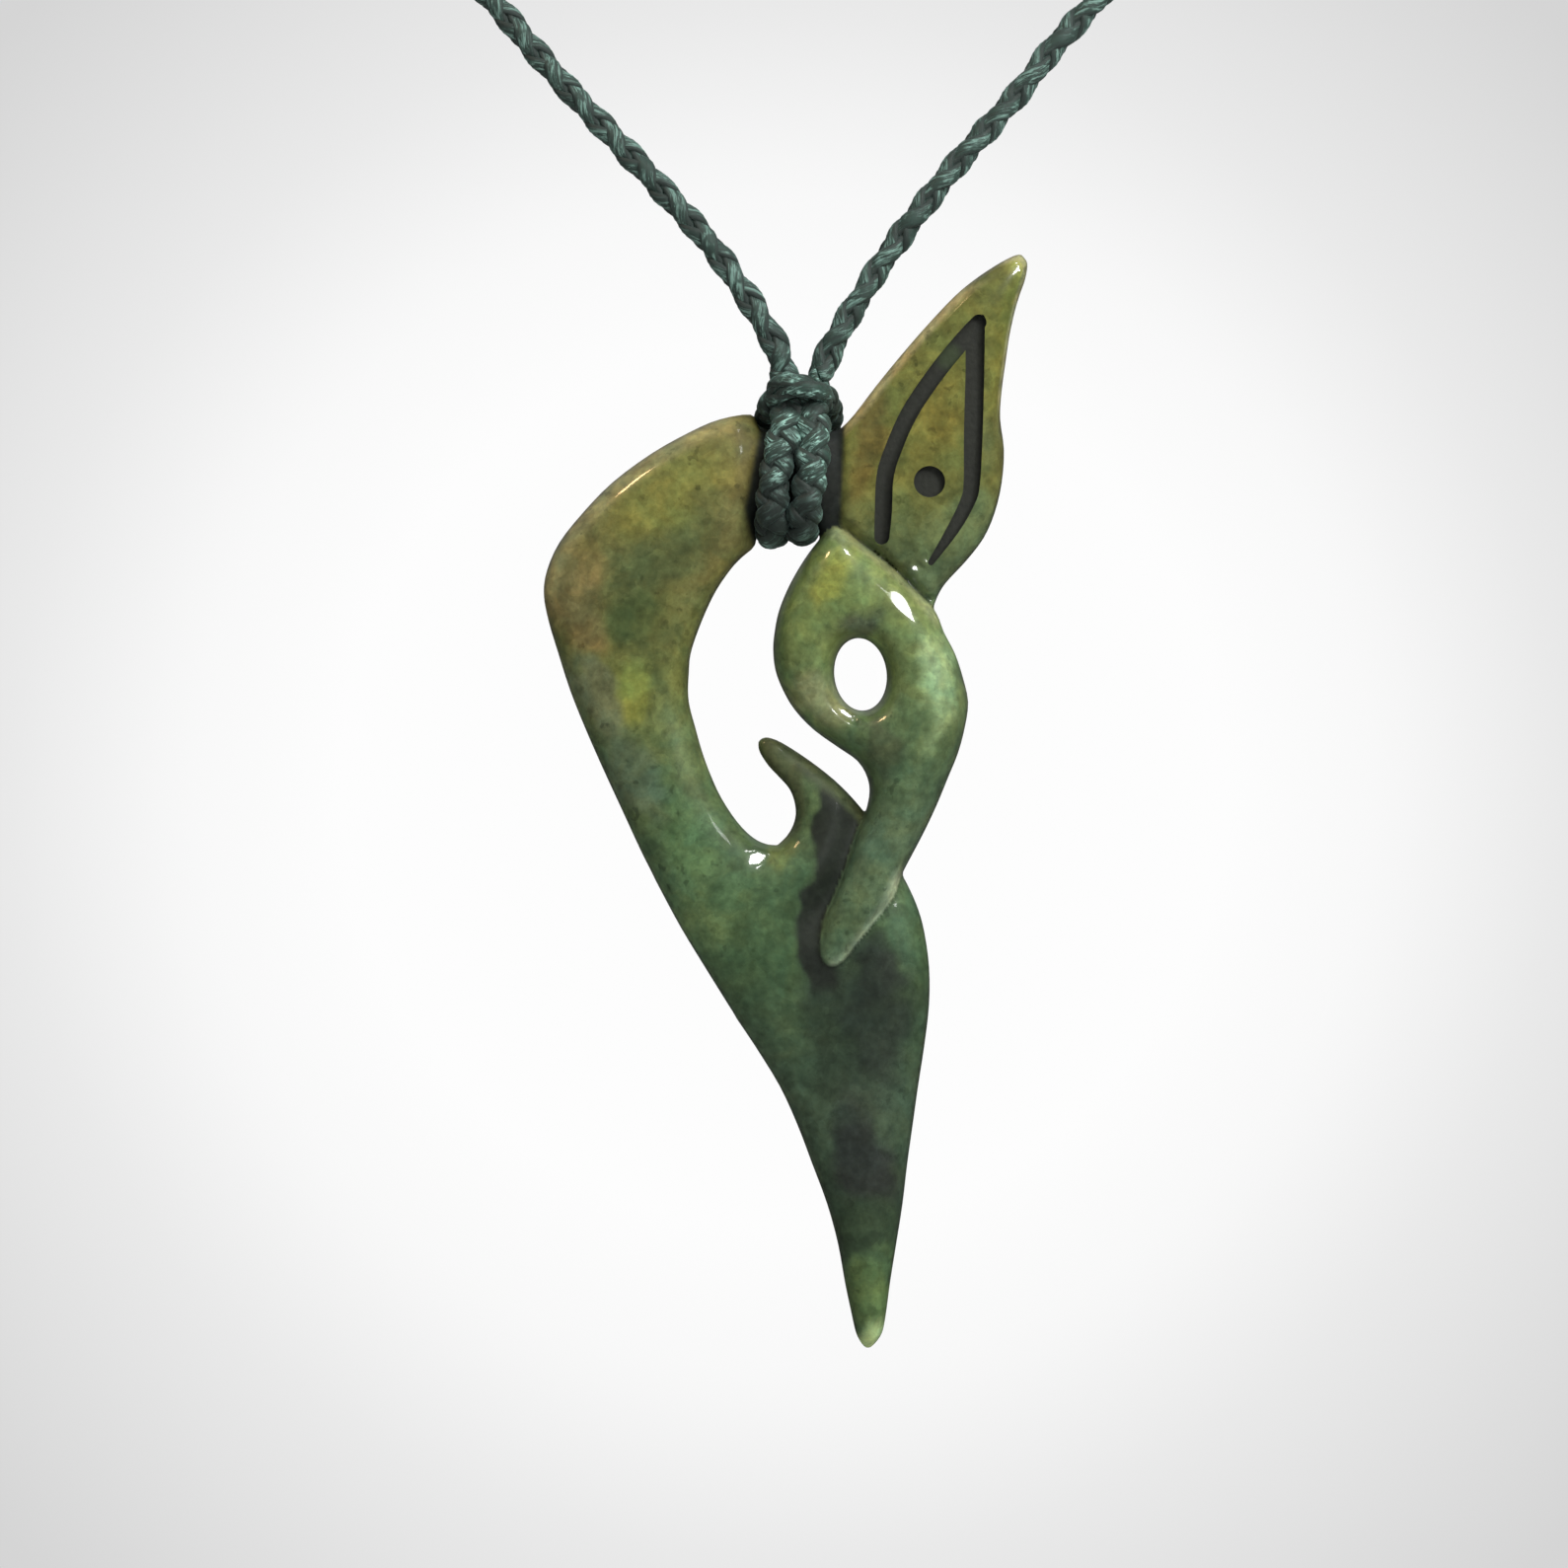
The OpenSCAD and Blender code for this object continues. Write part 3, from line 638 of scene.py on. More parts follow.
def stone_tint(points, values):
    """The stone's broad colour and its polish at each point."""
    x, y, z = points.T
    warp_x = x + 0.9 * noise_map(x, z, 2.4, 1) + 0.35 * noise_map(x, z, 0.8, 2)
    warp_z = z + 0.9 * noise_map(x, z, 2.4, 3) + 0.35 * noise_map(x, z, 0.8, 4)
    marks = stone_marks(points, values, warp_x, warp_z)
    fullness = {limb: values[4 * i] for i, limb in enumerate(LIMBS)}
    colours = {}
    for limb in LIMBS:
        colour = ladder(LADDERS[limb], warp_z)
        for middle_x, middle_z, half_w, half_h, lean, shade, strength in PATCHES[limb].values():
            far = lean_distance(warp_x, warp_z, middle_x, middle_z, half_w, half_h, lean)
            colour = tinted(colour, shade, strength * ramp(far, 1.3, 0.5))
        colours[limb] = colour
    olive = ramp(fullness["main"], 0.45, 0.2) * zone("rim of the spur", x, z) * (1 - marks["behind"])
    colours["main"] = tinted(colours["main"], CORE_STONE_AND_SHADE_COLOUR, 0.97 * marks["core"])
    colours["main"] = tinted(colours["main"], SPUR_RIM_COLOUR, 0.8 * olive)
    # Painted light: lighter bands along the front's edges
    for limb, where, shade, strength, end in PAINTED_EDGE_LIGHTS:
        band = strength * zone(where, x, z) * ramp(fullness[limb], 1.2 * end, 0.6 * end) * (y < 0)
        colours[limb] = tinted(colours[limb], shade, band)
    colour = colours["main"]
    for limb in ("head", "bead"):
        colour = colour + marks[limb][:, None] * (colours[limb] - colour)
    # Painted shade: the creases, and a thin rim along the outline where the sides turn from the light, are
    # darkened
    edge = ramp(np.max(list(fullness.values()), axis=0), 0.14, 0.03)
    colour = colour * ((1 - 0.4 * marks["crease_shade"]) * (1 - 0.2 * edge))[:, None]
    return tinted(colour, WAIST_SHADOW_COLOUR, 0.95 * marks["waist_shadow"]), stone_polish(x, y, z, marks)


def stone_polish(x, y, z, marks):
    """How polished the stone is: less in some zones, and fully on the small flats."""
    off_bead = marks["off bead"]
    # The bead's ridge is dull except round its own highlight
    ridge = ramp(np.hypot(x - 6.7, (z + 8.1) / 1.9), 0.6, 1.1) * marks["on bead"]
    dull = [
        (0.9, marks["waist_shadow"]), (0.7, marks["crease_shade"]), (0.9, marks["core"]), (0.5, zone("foot", x, z)),
        (0.8, zone("dull spur", x, z) * off_bead * (z < -16)),
        (0.85, zone("beside the seat", x, z) * off_bead),
        (0.85, zone("inside of the hook", x, z) * off_bead),
        (0.8, zone("right of the arm's tip", x, z) * off_bead),
        (0.8, zone("left of the head", x, z) * marks["on head"]),
        (0.85, zone("ridge of the bead", x, z) * ridge)]
    polish = 1.0
    for strength, where in dull:
        polish = polish * (1 - strength * where)
    for _, at_x, at_z, half_w, half_h, lean in FLATS:
        spot = ramp(lean_distance(x, z, at_x, at_z, half_w, half_h, lean), 1.6, 1.1)
        polish = np.maximum(polish, spot * (y < 0))
    return polish


class Nodes:
    """Adds linked nodes to the tree of a material or a world."""

    def __init__(self, owner):
        owner.use_nodes = True
        self.tree = owner.node_tree
        self.tree.nodes.clear()

    def add(self, kind, settings=None, inputs=None):
        node = self.tree.nodes.new("ShaderNode" + kind)
        for key, value in (settings or {}).items():
            setattr(node, key, value)
        for key, value in (inputs or {}).items():
            if isinstance(value, bpy.types.NodeSocket):
                self.tree.links.new(value, node.inputs[key])
            else:
                node.inputs[key].default_value = value
        return node

    def attribute(self, name, output):
        return self.add("Attribute", {"attribute_name": name}).outputs[output]

    def place(self):
        return self.add("TexCoord").outputs["Object"]

    def split(self, vector):
        return self.add("SeparateXYZ", inputs={0: vector}).outputs

    def joined(self, x, y):
        return self.add("CombineXYZ", inputs={0: x, 1: y}).outputs[0]

    def noise(self, at, scale, detail=2, roughness=0.5, distortion=0, output="Fac"):
        return self.add("TexNoise", inputs={
            "Vector": at, "Scale": scale, "Detail": detail, "Roughness": roughness,
            "Distortion": distortion}).outputs[output]

    def math(self, operation, *values):
        return self.add("Math", {"operation": operation}, dict(enumerate(values))).outputs[0]

    def times(self, a, b):
        return self.math("MULTIPLY", a, b)

    def vector(self, operation, *values, output="Vector"):
        return self.add("VectorMath", {"operation": operation}, dict(enumerate(values))).outputs[output]

    def scaled(self, vector, size):
        return self.add("VectorMath", {"operation": "SCALE"}, {0: vector, "Scale": size}).outputs[0]

    def spread(self, value, low, high, start, end, kind="LINEAR"):
        """Maps the range from low to high onto the range from start to end."""
        return self.add("MapRange", {"interpolation_type": kind},
                        {0: value, 1: low, 2: high, 3: start, 4: end}).outputs[0]

    def soft(self, value, low, high, start, end):
        return self.spread(value, low, high, start, end, "SMOOTHSTEP")

    def number_mix(self, share, a, b):
        return self.add("Mix", inputs={0: share, 2: a, 3: b}).outputs[0]

    def colour_mix(self, share, a, b, kind="MIX"):
        return self.add("Mix", {"data_type": "RGBA", "blend_type": kind}, {0: share, 6: a, 7: b}).outputs[2]

    def bump(self, strength, distance, height):
        return self.add("Bump", inputs={
            "Strength": strength, "Distance": distance, "Height": height}).outputs[0]

    def surface(self, inputs):
        shader = self.add("BsdfPrincipled", inputs=inputs)
        self.add("OutputMaterial", inputs={0: shader.outputs[0]})


def jade_material():
    material = bpy.data.materials.new("jade stone")
    nodes = Nodes(material)
    place = nodes.place()
    tint = nodes.attribute("tint", "Color")
    polish = nodes.attribute("polish", "Fac")
    # Broad drifts towards green and towards yellow, calmer where the stone is dark
    calm = nodes.spread(nodes.add("RGBToBW", inputs={0: tint}).outputs[0], 0.03, 0.14, 0.35, 1)
    drift = nodes.spread(nodes.noise(place, 420, 4, 0.6, 0.4), 0.36, 0.64, 0, 1)
    drift = nodes.number_mix(calm, 0.45, drift)
    hue = nodes.colour_mix(drift, (0.88, 0.98, 1.02, 1), (1.16, 1.05, 0.94, 1))
    # Then clouds, small crystals and dark flecks
    clouds = nodes.noise(place, 700, 4, 0.6, 0.3)
    shake = nodes.scaled(nodes.noise(place, 1500, output="Color"), 0.0006)
    crystals = nodes.add("TexVoronoi", inputs={"Vector": nodes.vector("ADD", place, shake), "Scale": 1500})
    crystal = nodes.add("SeparateColor", inputs={0: crystals.outputs["Color"]}).outputs[0]
    fine = nodes.times(nodes.spread(nodes.noise(place, 2000, 3, 0.65), 0.3, 0.7, 0.79, 1.21),
                       nodes.spread(crystal, 0, 1, 0.87, 1.13))
    flecks = nodes.spread(nodes.noise(place, 1300, 2, 0.5), 0.29, 0.36, 0, 1)
    few = nodes.spread(nodes.noise(place, 260, 2, 0.5), 0.42, 0.6, 0.35, 1)
    fleck_light = nodes.spread(nodes.math("MAXIMUM", flecks, few), 0, 1, 0.45, 1)
    light = nodes.times(nodes.spread(clouds, 0.34, 0.66, 0.76, 1.26), fleck_light)
    light = nodes.times(nodes.number_mix(calm, 1, light), fine)
    nodes.surface({
        "Base Color": nodes.scaled(nodes.colour_mix(1, tint, hue, "MULTIPLY"), light),
        "Roughness": nodes.spread(polish, 0, 1, 0.6, 0.32), "Specular IOR Level": 0.25,
        "Subsurface Weight": 0.1, "Subsurface Radius": (1, 1.2, 0.6), "Subsurface Scale": 0.0008,
        "Coat Weight": nodes.spread(polish, 0, 1, 0, 0.6), "Coat Roughness": 0.06,
        "Normal": nodes.bump(0.05, 0.0002, clouds)})
    return material


def engraving_material():
    material = bpy.data.materials.new("engraving black")
    nodes = Nodes(material)
    place = nodes.place()
    grain = nodes.noise(place, 2500, 3)
    black = nodes.colour_mix(grain, (0.022, 0.024, 0.02, 1), (0.045, 0.048, 0.036, 1))
    # In one place the black is rubbed thin and green stone shows
    away = nodes.vector("DISTANCE", place, (WORN_AT + SEAT) * MM, output="Value")
    worn = nodes.soft(away, 0.0004, 0.0012, 1, 0)
    nodes.surface({"Base Color": nodes.colour_mix(worn, black, (0.055, 0.075, 0.036, 1)),
                   "Roughness": 0.45, "Normal": nodes.bump(0.3, 0.0001, grain)})
    return material


def make_jade():
    maps = plan_maps()
    stack = np.array([maps[name] for name in MAP_ORDER])
    verts, quads = surface_mesh(stack)
    verts = settle(verts, stack, 2)
    for _ in range(2):
        verts = settle(relax(verts, quads, 0.5), stack, 1)
    black = engraving_material()
    piece = mesh_object("manaia_jade", verts, quads, [jade_material()])
    for table in (LEFT_STROKE, RIGHT_STROKE):
        cut(piece, prism(stroke_loop(table), CUT_FROM, ENGRAVING_FLOOR, black))
    cut(piece, prism(circle_loop(EYE_AT, EYE_R, 48), CUT_FROM, EYE_FLOOR, black))
    mesh = piece.data
    mesh.name = "manaia_jade"
    points = np.empty(len(mesh.vertices) * 3)
    mesh.vertices.foreach_get("co", points)
    points = points.reshape(-1, 3)
    tint = np.ones((len(points), 4))
    tint[:, :3], polish = stone_tint(points, sample(stack, points[:, 0], points[:, 2]))
    store(mesh, "tint", "FLOAT_COLOR", "color", tint)
    store(mesh, "polish", "FLOAT", "value", polish)
    mesh.polygons.foreach_set("use_smooth", [True] * len(mesh.polygons))
    edit_mesh(mesh, mark_sharp)
    scale = JADE_H / np.ptp(points[:, 2])
    mesh.transform(Matrix.Translation(Vector(SEAT * MM)) @ Matrix.Scale(scale * MM, 4))
    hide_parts("jade_manaia")
    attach(piece, BODY_NAME)


# The cord's run, from the nape down the left side, round the bar and up the right side
LEFT_LEG = [
    [-1.05, 0.6, 6.5], [-1.85, 0.9, 9], [-5.1, 1.4, 14.1], [-9, 2.1, 18.7],
    [-13.2, 3, 23.2], [-17.2, 4, 27.7]]
RIGHT_LEG = [
    [1.15, 0.6, 6.4], [2.4, 0.9, 9.3], [5.7, 1.4, 14.6], [9.4, 2.1, 19.5],
    [13.5, 3, 24.3], [17.4, 4, 29.1]]
ROUND_NECK = [
    [28, -100, -113], [38, -94, -99], [47, -84, -82], [53, -71, -63],
    [55.5, -56, -44], [54, -41, -28], [48, -27, -15.5], [37, -14.5, -7],
    [22, -5, -2], [10, -0.8, -0.2], [4.5, 0, 0], [2, 0, 0]]
# The hitch, then the cord's thickness at its rows and how far it is pressed wider there
HITCH_RUN = [
    [-0.82, -0.6, 5.2], [-0.8, -1.9, 4.4], [-1, -2.75, 3.2], [-1.45, -3.1, 1.2],
    [-1.75, -3.1, -0.6], [-1.87, -2.8, -2.2], [-1.87, -1.7, -3.35], [-1.87, 0, -3.6],
    [-1.85, 1.8, -3.3], [-1.9, 2.9, -2], [-1.9, 3.1, 0], [-2, 2.9, 2.4], [-2.1, 1.8, 3.6],
    [-2.15, 0.4, 4.1], [-2.03, -1, 4.65], [-1.65, -2.1, 5.4], [-0.95, -2.9, 5.83],
    [-0.05, -3.1, 5.86], [0.8, -2.75, 5.6], [1.45, -1.7, 5.2], [1.83, 0.3, 4.5],
    [1.83, 1.8, 3.8], [1.6, 2.9, 2.4], [1.2, 3.1, 0], [0.8, 2.9, -2], [0.35, 1.8, -3.2],
    [0.05, 0, -3.45], [0.03, -1.7, -3.3], [0.2, -2.8, -2.3], [0.5, -3.1, -0.6],
    [0.72, -3.1, 1.2], [0.78, -2.75, 3.2], [0.74, -1.9, 4.4], [0.82, -0.6, 5.2]]
HITCH_THICK = [1] + 7 * [1.05] + 6 * [1] + 5 * [0.98] + 7 * [1] + 7 * [1.05] + [1]
TURN_WIDE = [1, 1.3, 1.3, 1.25, 1.25, 1.28, 1.28, 1.2, 1.1, 1.1, 1.1, 1.05]
HITCH_WIDE = TURN_WIDE + 10 * [1] + TURN_WIDE[::-1]
# Where the hitch lies in its own shade: middle in x and z, half width, half height, strength
CORD_SHADE = {
    "under the band": (-0.2, 4.5, 2.4, 0.5, 0.9),
    "between the turns": (-0.5, -0.2, 0.55, 3.4, 1),
    "left shoulder": (-2.7, 4.3, 0.8, 0.9, 0.8),
    "right shoulder": (2.3, 4.3, 0.7, 1.4, 0.8),
    "left side of the left turn": (-2.75, -0.8, 0.65, 3.4, 0.95),
    "low front": (-1, -2, 2.8, 2.2, 0.95),
    "feet": (-0.9, -3.7, 3.2, 0.9, 0.6),
}
# Length of a whole turn of the braid
LAY, HITCH_LAY, BAND_LAY = 6, 3.9, 9
# Valleys of the braid in the photo, from where the hitch starts and from where it ends
LEFT_VALLEY, RIGHT_VALLEY = -1.1, 0.1
BRAID_R, BRAID_SWING = 0.39, 0.16
# Which way each strand winds, and the angle where it starts
STRANDS = [(1, 0), (1, math.pi), (-1, 0), (-1, math.pi)]
STRAND_HALF = (0.56, 0.335)
STRAND_SIDES = 12
STRAND_APART = 37
RING_STEP = 0.23
HITCH_RING_STEP = 0.15
PLY = 1.2
FINE_STEP = 0.05
ROUTE_STEPS = 24
FORWARDS = np.array([0.0, -1.0, 0.0])
KNOT_HALF, KNOT_R = 4.4, 1.68
WHIPPING_R, WHIPPING_PITCH, WHIPPING_STEPS, WHIPPING_SIDES = 0.62, 1.24, 32, 14


def carried_side(ahead, start):
    """A side direction carried both ways along the cord from one point, without twist."""
    found = np.zeros_like(ahead)
    for step in (1, -1):
        now = FORWARDS
        i = start
        while 0 <= i < len(ahead):
            now = beside(now, ahead[i])
            found[i] = now
            i += step
    return found


def turned_side(side, ahead, share, end):
    """The side direction, turned back to the front by the time the right leg starts."""
    front = beside(FORWARDS, ahead[end])
    slip = math.atan2(np.cross(side[end], front) @ ahead[end], side[end] @ front)
    angle = share[:, None] * slip
    return np.cos(angle) * side + np.sin(angle) * np.cross(ahead, side)


def braid_turn(along, path, first, last):
    """How far the braid has turned. The photo's valleys fix where its turns start on each leg."""
    in_hitch = (along > first + LEFT_VALLEY) & (along < last + RIGHT_VALLEY)
    on_band = in_hitch & (path[:, 1] < SEAT[1] - 1.2) & (path[:, 2] > SEAT[2] + 5)
    pace = 1 / np.where(on_band, BAND_LAY, np.where(in_hitch, HITCH_LAY, LAY))
    total = (pace * in_hitch).sum() * FINE_STEP
    pace = pace * np.where(in_hitch, round(2 * total) / 2 / total, 1)
    turn = np.cumsum(pace) * FINE_STEP
    return 2 * math.pi * (turn - np.interp(first + LEFT_VALLEY, along, turn))


def cord_route():
    """Even points along the whole cord from end to end, and what is known at each."""
    neck = np.array(ROUND_NECK, float)
    left = np.concatenate([(neck * [-1, 1, 1])[::-1], (np.array(LEFT_LEG) + SEAT)[::-1]])
    right = np.concatenate([np.array(RIGHT_LEG) + SEAT, neck])
    hitch = np.array(HITCH_RUN) + SEAT
    hitch = np.column_stack([hitch, HITCH_THICK, HITCH_WIDE])
    left, right = (np.pad(leg, ((0, 0), (0, 2)), constant_values=1) for leg in (left, right))
    dense = smooth(np.concatenate([left, hitch, right]), ROUTE_STEPS)
    run = np.append(0, np.cumsum(np.linalg.norm(np.diff(dense[:, :3], axis=0), axis=1)))
    along = np.arange(0, run[-1], FINE_STEP)
    even = np.stack([np.interp(along, run, column) for column in dense.T], axis=1)
    path = even[:, :3]
    first = run[(len(left) - 1) * ROUTE_STEPS]
    last = run[(len(left) + len(hitch)) * ROUTE_STEPS]
    # The legs thicken a little as they come down to the hitch
    swelling = (ramp(along, first - 6, first - 1) * ramp(along, first + 3, first)
                + ramp(along, last + 6, last + 1) * ramp(along, last - 3, last))
    ahead = unit(np.gradient(path, axis=0))
    share = np.clip((along - first) / (last - first), 0, 1)
    side = turned_side(carried_side(ahead, int(first / FINE_STEP)), ahead, share, int(last / FINE_STEP))
    return SimpleNamespace(
        first=first, last=last, end=along[-1], path=path, ahead=ahead, side=side, wide_x=even[:, 4],
        thick=even[:, 3] + 0.1 * swelling, turn=braid_turn(along, path, first, last))


def sweep(middle, out, half_w, half_t, along, sides):
    """The rings of a tube along a line, thin towards out, and each point's place on its strand."""
    heading = unit(np.gradient(middle, axis=0))
    out = beside(out, heading)
    wide = np.cross(heading, out)
    around = 2 * math.pi * np.arange(sides) / sides
    cos, sin = np.cos(around), np.sin(around)
    rings = (middle[:, None, :] + half_w * cos[None, :, None] * wide[:, None, :]
             + half_t * sin[None, :, None] * out[:, None, :])
    coord = np.empty(rings.shape)
    coord[:, :, 0] = cos
    coord[:, :, 1] = sin
    coord[:, :, 2] = along[:, None]
    return rings, coord


def tube_mesh(name, runs, material):
    """One piece of closed tubes. A run has its rings, its strand coordinates and its shade."""
    verts, faces, coords, shades = [], [], [], []
    for rings, coord, shade in runs:
        base = sum(len(v) for v in verts)
        count, sides = rings.shape[:2]
        verts.append(rings.reshape(-1, 3))
        coords.append(coord.reshape(-1, 3))
        shades.append(shade + np.zeros(count * sides))
        here = base + np.arange(count * sides).reshape(count, sides)
        after = np.roll(here, -1, axis=1)
        quads = np.stack([here[:-1], after[:-1], after[1:], here[1:]], axis=-1)
        faces += quads.reshape(-1, 4).tolist() + [here[0, ::-1].tolist(), here[-1].tolist()]
    piece = mesh_object(name, np.concatenate(verts) * MM, faces, [material])
    edit_mesh(piece.data, face_outwards)
    store(piece.data, "strand", "FLOAT_VECTOR", "vector", np.concatenate(coords))
    store(piece.data, "shade", "FLOAT", "value", np.concatenate(shades))
    return piece


def cord_shade(points):
    """How deep in the hitch's own shade the points of a strand lie."""
    x, z = points[:, 0] - SEAT[0], points[:, 2] - SEAT[2]
    light = 1
    for middle_x, middle_z, half_w, half_h, strength in CORD_SHADE.values():
        far = lean_distance(x, z, middle_x, middle_z, half_w, half_h, 0)
        light = light * (1 - strength * ramp(far, 1.3, 0.55))
    return 1 - light


def strand_run(cord, number, low, high, step):
    """The rings of one strand of the braid between two places along the cord."""
    way, offset = STRANDS[number]
    at = np.linspace(low, high, int(math.ceil((high - low) / step)) + 1)
    index = np.clip(np.round(at / FINE_STEP).astype(int), 0, len(cord.path) - 1)
    side, path = cord.side[index], cord.path[index]
    # Hand-made: each strand strays a little round the braid and in its thickness
    lane = 0 * at + 9 * number
    angle = way * cord.turn[index] + offset + 0.2 * noise_map(at, lane, 1.3, 11)
    swing = BRAID_SWING * np.cos(2 * angle) * way
    squash = cord.thick[index] * (1 + 0.07 * noise_map(at, lane, 0.9, 12))
    radius = (BRAID_R + swing) * squash
    out = np.cos(angle)[:, None] * side + np.sin(angle)[:, None] * np.cross(cord.ahead[index], side)
    half_w, half_t = ((half * squash)[:, None, None] for half in STRAND_HALF)
    rings, coord = sweep(path + radius[:, None] * out, out, half_w, half_t,
                         at + STRAND_APART * number, STRAND_SIDES)
    rings[:, :, 0] += (rings[:, :, 0] - path[:, :1]) * (cord.wide_x[index] - 1)[:, None]
    return rings, coord, cord_shade(rings.reshape(-1, 3))


def make_cord(leg_look, hitch_look):
    cord = cord_route()
    hitch_nodes = ["hitch_left", "hitch_right", "hitch_band"]
    for name, low, high, step, look, nodes in (
            ("cord_left_braid", 0, cord.first, RING_STEP, leg_look, ["neck_cord_left"]),
            ("hitch_braid", cord.first, cord.last, HITCH_RING_STEP, hitch_look, hitch_nodes),
            ("cord_right_braid", cord.last, cord.end, RING_STEP, leg_look, ["neck_cord_right"])):
        runs = [strand_run(cord, number, low, high, step) for number in range(len(STRANDS))]
        piece = tube_mesh(name, runs, look)
        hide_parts(*nodes)
        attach(piece, BODY_NAME)


def make_knot(material):
    """A whipping of tight turns over the joined ends, in the shape of a barrel."""
    turns = 2 * (KNOT_HALF - WHIPPING_R) / WHIPPING_PITCH
    t = np.linspace(0, turns, int(turns * WHIPPING_STEPS))
    ends = np.minimum(t, turns - t)
    radius = KNOT_R - 0.45 * (1 - ramp(ends, 0, 0.7))
    angle = 2 * math.pi * t
    out = np.stack([0 * t, np.cos(angle), np.sin(angle)], axis=1)
    middle = radius[:, None] * out
    middle[:, 0] = WHIPPING_R - KNOT_HALF + WHIPPING_PITCH * t
    rings, coord = sweep(middle, out, WHIPPING_R, WHIPPING_R, 10 * t, WHIPPING_SIDES)
    piece = tube_mesh("joining_knot_whipping", [(rings, coord, 0)], material)
    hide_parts("joining_knot")
    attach(piece, BODY_NAME)


def cord_material(name, twist, dark, mid, shine, streaks):
    """Waxed cord. Twist says how plainly a strand's two yarns show. Dark and mid are its colours in painted
    shade and painted light, and shine is the colour of its painted glints.
    """
    material = bpy.data.materials.new(name)
    nodes = Nodes(material)
    times, soft = nodes.times, nodes.soft
    strand = nodes.attribute("strand", "Vector")
    shade = nodes.attribute("shade", "Fac")
    fibre = nodes.noise(nodes.vector("MULTIPLY", strand, streaks), 3.6, 5, 0.7, 0.8)
    patch = nodes.noise(nodes.place(), 900)
    # Painted shade: a strand is darkened at its sides, where it dips between its neighbours, and in the
    # hitch's shade
    across, _, along = nodes.split(strand)
    lit_crest = times(soft(nodes.math("ABSOLUTE", across), 0.5, 1, 1, 0), soft(shade, 0, 1, 1, 0.1))
    # Each strand is two yarns twisted together: the yarns' crests wind round it
    phase = times(along, 2 * math.pi / PLY)
    turned = nodes.joined(nodes.math("COSINE", phase), nodes.math("SINE", phase))
    rim = nodes.vector("MULTIPLY", strand, (1, 1, 0))
    yarn = nodes.math("ABSOLUTE", nodes.vector("DOT_PRODUCT", rim, turned, output="Value"))
    lit = times(lit_crest, soft(yarn, 0.2, 0.8, 1 - 0.65 * twist, 1))
    lit = times(lit, soft(fibre, 0.36, 0.56, 0.25, 1))
    deep = nodes.colour_mix(soft(shade, 0.5, 1, 0, 0.4), dark, (0, 0, 0, 1))
    colour = nodes.colour_mix(lit, deep, mid)
    # Painted glints: small pale fibre highlights mixed into the base colour on the lit crests
    glint = times(times(soft(fibre, 0.48, 0.58, 0, 1), soft(patch, 0.36, 0.5, 0, 1)),
                  times(lit, soft(yarn, 0.4, 0.9, 1 - twist, 1)))
    relief = nodes.math("MULTIPLY_ADD", fibre, 0.7, times(yarn, twist))
    nodes.surface({
        "Base Color": nodes.colour_mix(glint, colour, shine), "Roughness": 0.5,
        "Specular IOR Level": 0.25, "Sheen Weight": 0.2, "Sheen Roughness": 0.4,
        "Sheen Tint": (0.5, 0.8, 0.72, 1), "Normal": nodes.bump(0.7, 0.00012, relief)})
    return material


# How bright the surround looks by its distance from the picture's middle
SURROUND = [(0, 0.982), (0.283, 0.982), (0.374, 0.943), (0.398, 0.923), (0.493, 0.82),
    (0.6, 0.735), (0.69, 0.665), (1, 0.66)]
SURROUND_REACH = 2 * 0.0599


def make_world():
    """A pale surround that darkens softly outwards, for the white ground of the picture."""
    world = bpy.data.worlds.new("pale studio")
    bpy.context.scene.world = world
    nodes = Nodes(world)
    across, _, up = nodes.split(nodes.add("TexCoord").outputs["Generated"])
    # The sine of the angle from the view's middle gives the place on the ramp
    sine = nodes.vector("LENGTH", nodes.joined(across, up), output="Value")
    fade = nodes.add("ValToRGB", inputs={0: nodes.math("DIVIDE", sine, SURROUND_REACH)})
    stops = fade.color_ramp.elements
    while len(stops) < len(SURROUND):
        stops.new(0.5)
    for stop, (at, grey) in zip(stops, SURROUND):
        stop.position = at
        stop.color = (grey, grey, grey, 1)

    path = nodes.add("LightPath")
    white = (1, 1, 1, 1)

    def glow(colour, strength):
        return nodes.add("Background", inputs={0: colour, 1: strength}).outputs[0]

    def choose(ray, other, this):
        return nodes.add("MixShader", inputs={0: path.outputs[ray], 1: other, 2: this}).outputs[0]
    # Polished edges mirror a dim room, a little brighter above
    room = glow(white, nodes.spread(up, 0, 1, 0.05, 0.45))
    lighting = choose("Is Glossy Ray", glow(white, 0.15), room)
    seen = choose("Is Camera Ray", lighting, glow(fade.outputs["Color"], 1))
    nodes.add("OutputWorld", inputs={0: seen})


LIGHTS_AT = Vector((0, -0.108, -0.175))


def make_light(name, way, size, power, colour=(1, 1, 1), diffuse=True, glossy=True):
    """A soft light, where the way to it from the jade says."""
    lamp = bpy.data.lights.new(name, "AREA")
    lamp.shape = "RECTANGLE"
    lamp.size, lamp.size_y = size
    lamp.energy = power
    lamp.color = colour
    holder = bpy.data.objects.new(name, lamp)
    holder.location = LIGHTS_AT + Vector(way)
    holder.rotation_euler = (-Vector(way)).to_track_quat("-Z", "Y").to_euler()
    holder.visible_diffuse = diffuse
    holder.visible_glossy = glossy
    bpy.context.scene.collection.objects.link(holder)


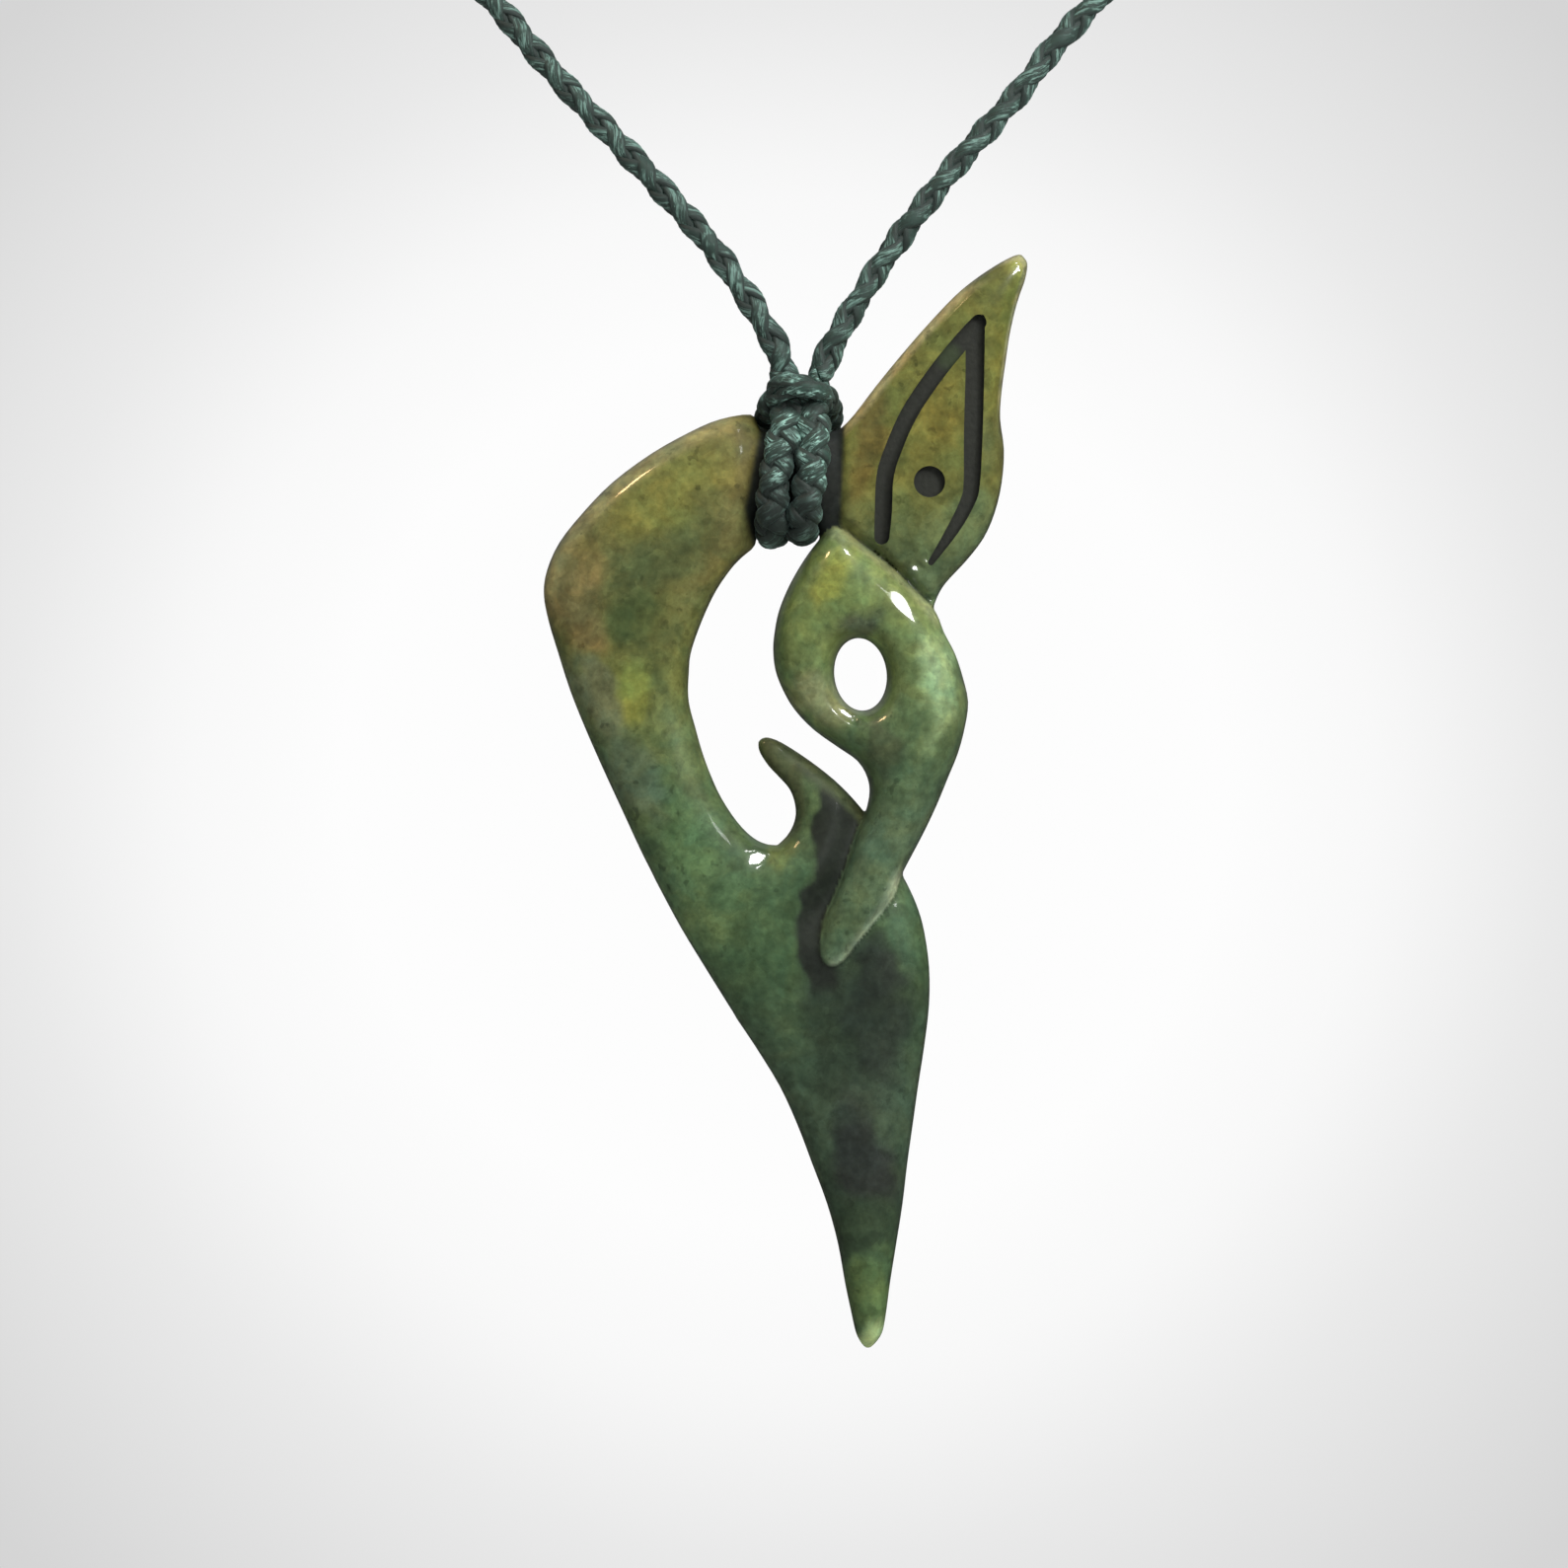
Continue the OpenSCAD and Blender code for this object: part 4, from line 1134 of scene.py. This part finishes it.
def make_lights():
    """Broad soft lights in front and behind, and small ones that give the crisp glints."""
    make_light("soft front", (0.26, -0.42, 0.42), (0.4, 0.4), 3.9, glossy=False)
    make_light("soft back", (0, 0.55, 0.3), (0.5, 0.4), 2, glossy=False)
    make_light("white glint", (0.28, -0.36, 0.24), (0.08, 0.08), 1.2, diffuse=False)
    make_light("high glint", (0.14, -0.2, 0.43), (0.07, 0.07), 0.7, diffuse=False)
    make_light("warm glint", (-0.29, -0.15, 0.38), (0.06, 0.06), 0.5, (1, 0.66, 0.34), diffuse=False)


FLOOR_SIDES = 96
FLOOR_R = 0.45
FLOOR_MIDDLE = (0, -0.054)
FLOOR_Z = -0.26


def make_stage():
    rim = circle_loop(FLOOR_MIDDLE, FLOOR_R, FLOOR_SIDES)
    material = bpy.data.materials.new("pale floor")
    Nodes(material).surface({"Base Color": (0.8, 0.8, 0.8, 1), "Roughness": 0.8})
    verts = [(x, y, FLOOR_Z) for x, y in rim]
    floor = mesh_object("floor", verts, [list(range(FLOOR_SIDES))], [material], False)
    floor.visible_glossy = False


def make_camera():
    lens = bpy.data.cameras.new("camera")
    lens.lens = 300
    lens.sensor_width = 36
    lens.clip_start = 0.01
    camera = bpy.data.objects.new("camera", lens)
    camera.location = (-0.0011, -0.94484, -0.17356)
    camera.rotation_euler = (math.radians(90), 0, 0)
    bpy.context.scene.collection.objects.link(camera)
    bpy.context.scene.camera = camera


bpy.context.scene.view_settings.view_transform = "Standard"
make_camera()
make_world()
make_stage()
make_lights()
make_jade()
leg_look = cord_material(
    "waxed cord", twist=0.1, dark=(0.043, 0.058, 0.052, 1), mid=(0.05, 0.088, 0.072, 1),
    shine=(0.24, 0.4, 0.34, 1), streaks=(0.8, 0.6, 0.25))
hitch_look = cord_material(
    "waxed cord, creased", twist=0.5, dark=(0.042, 0.056, 0.048, 1), mid=(0.048, 0.098, 0.076, 1),
    shine=(0.45, 0.75, 0.64, 1), streaks=(0.7, 0.5, 0.6))
make_cord(leg_look, hitch_look)
make_knot(leg_look)
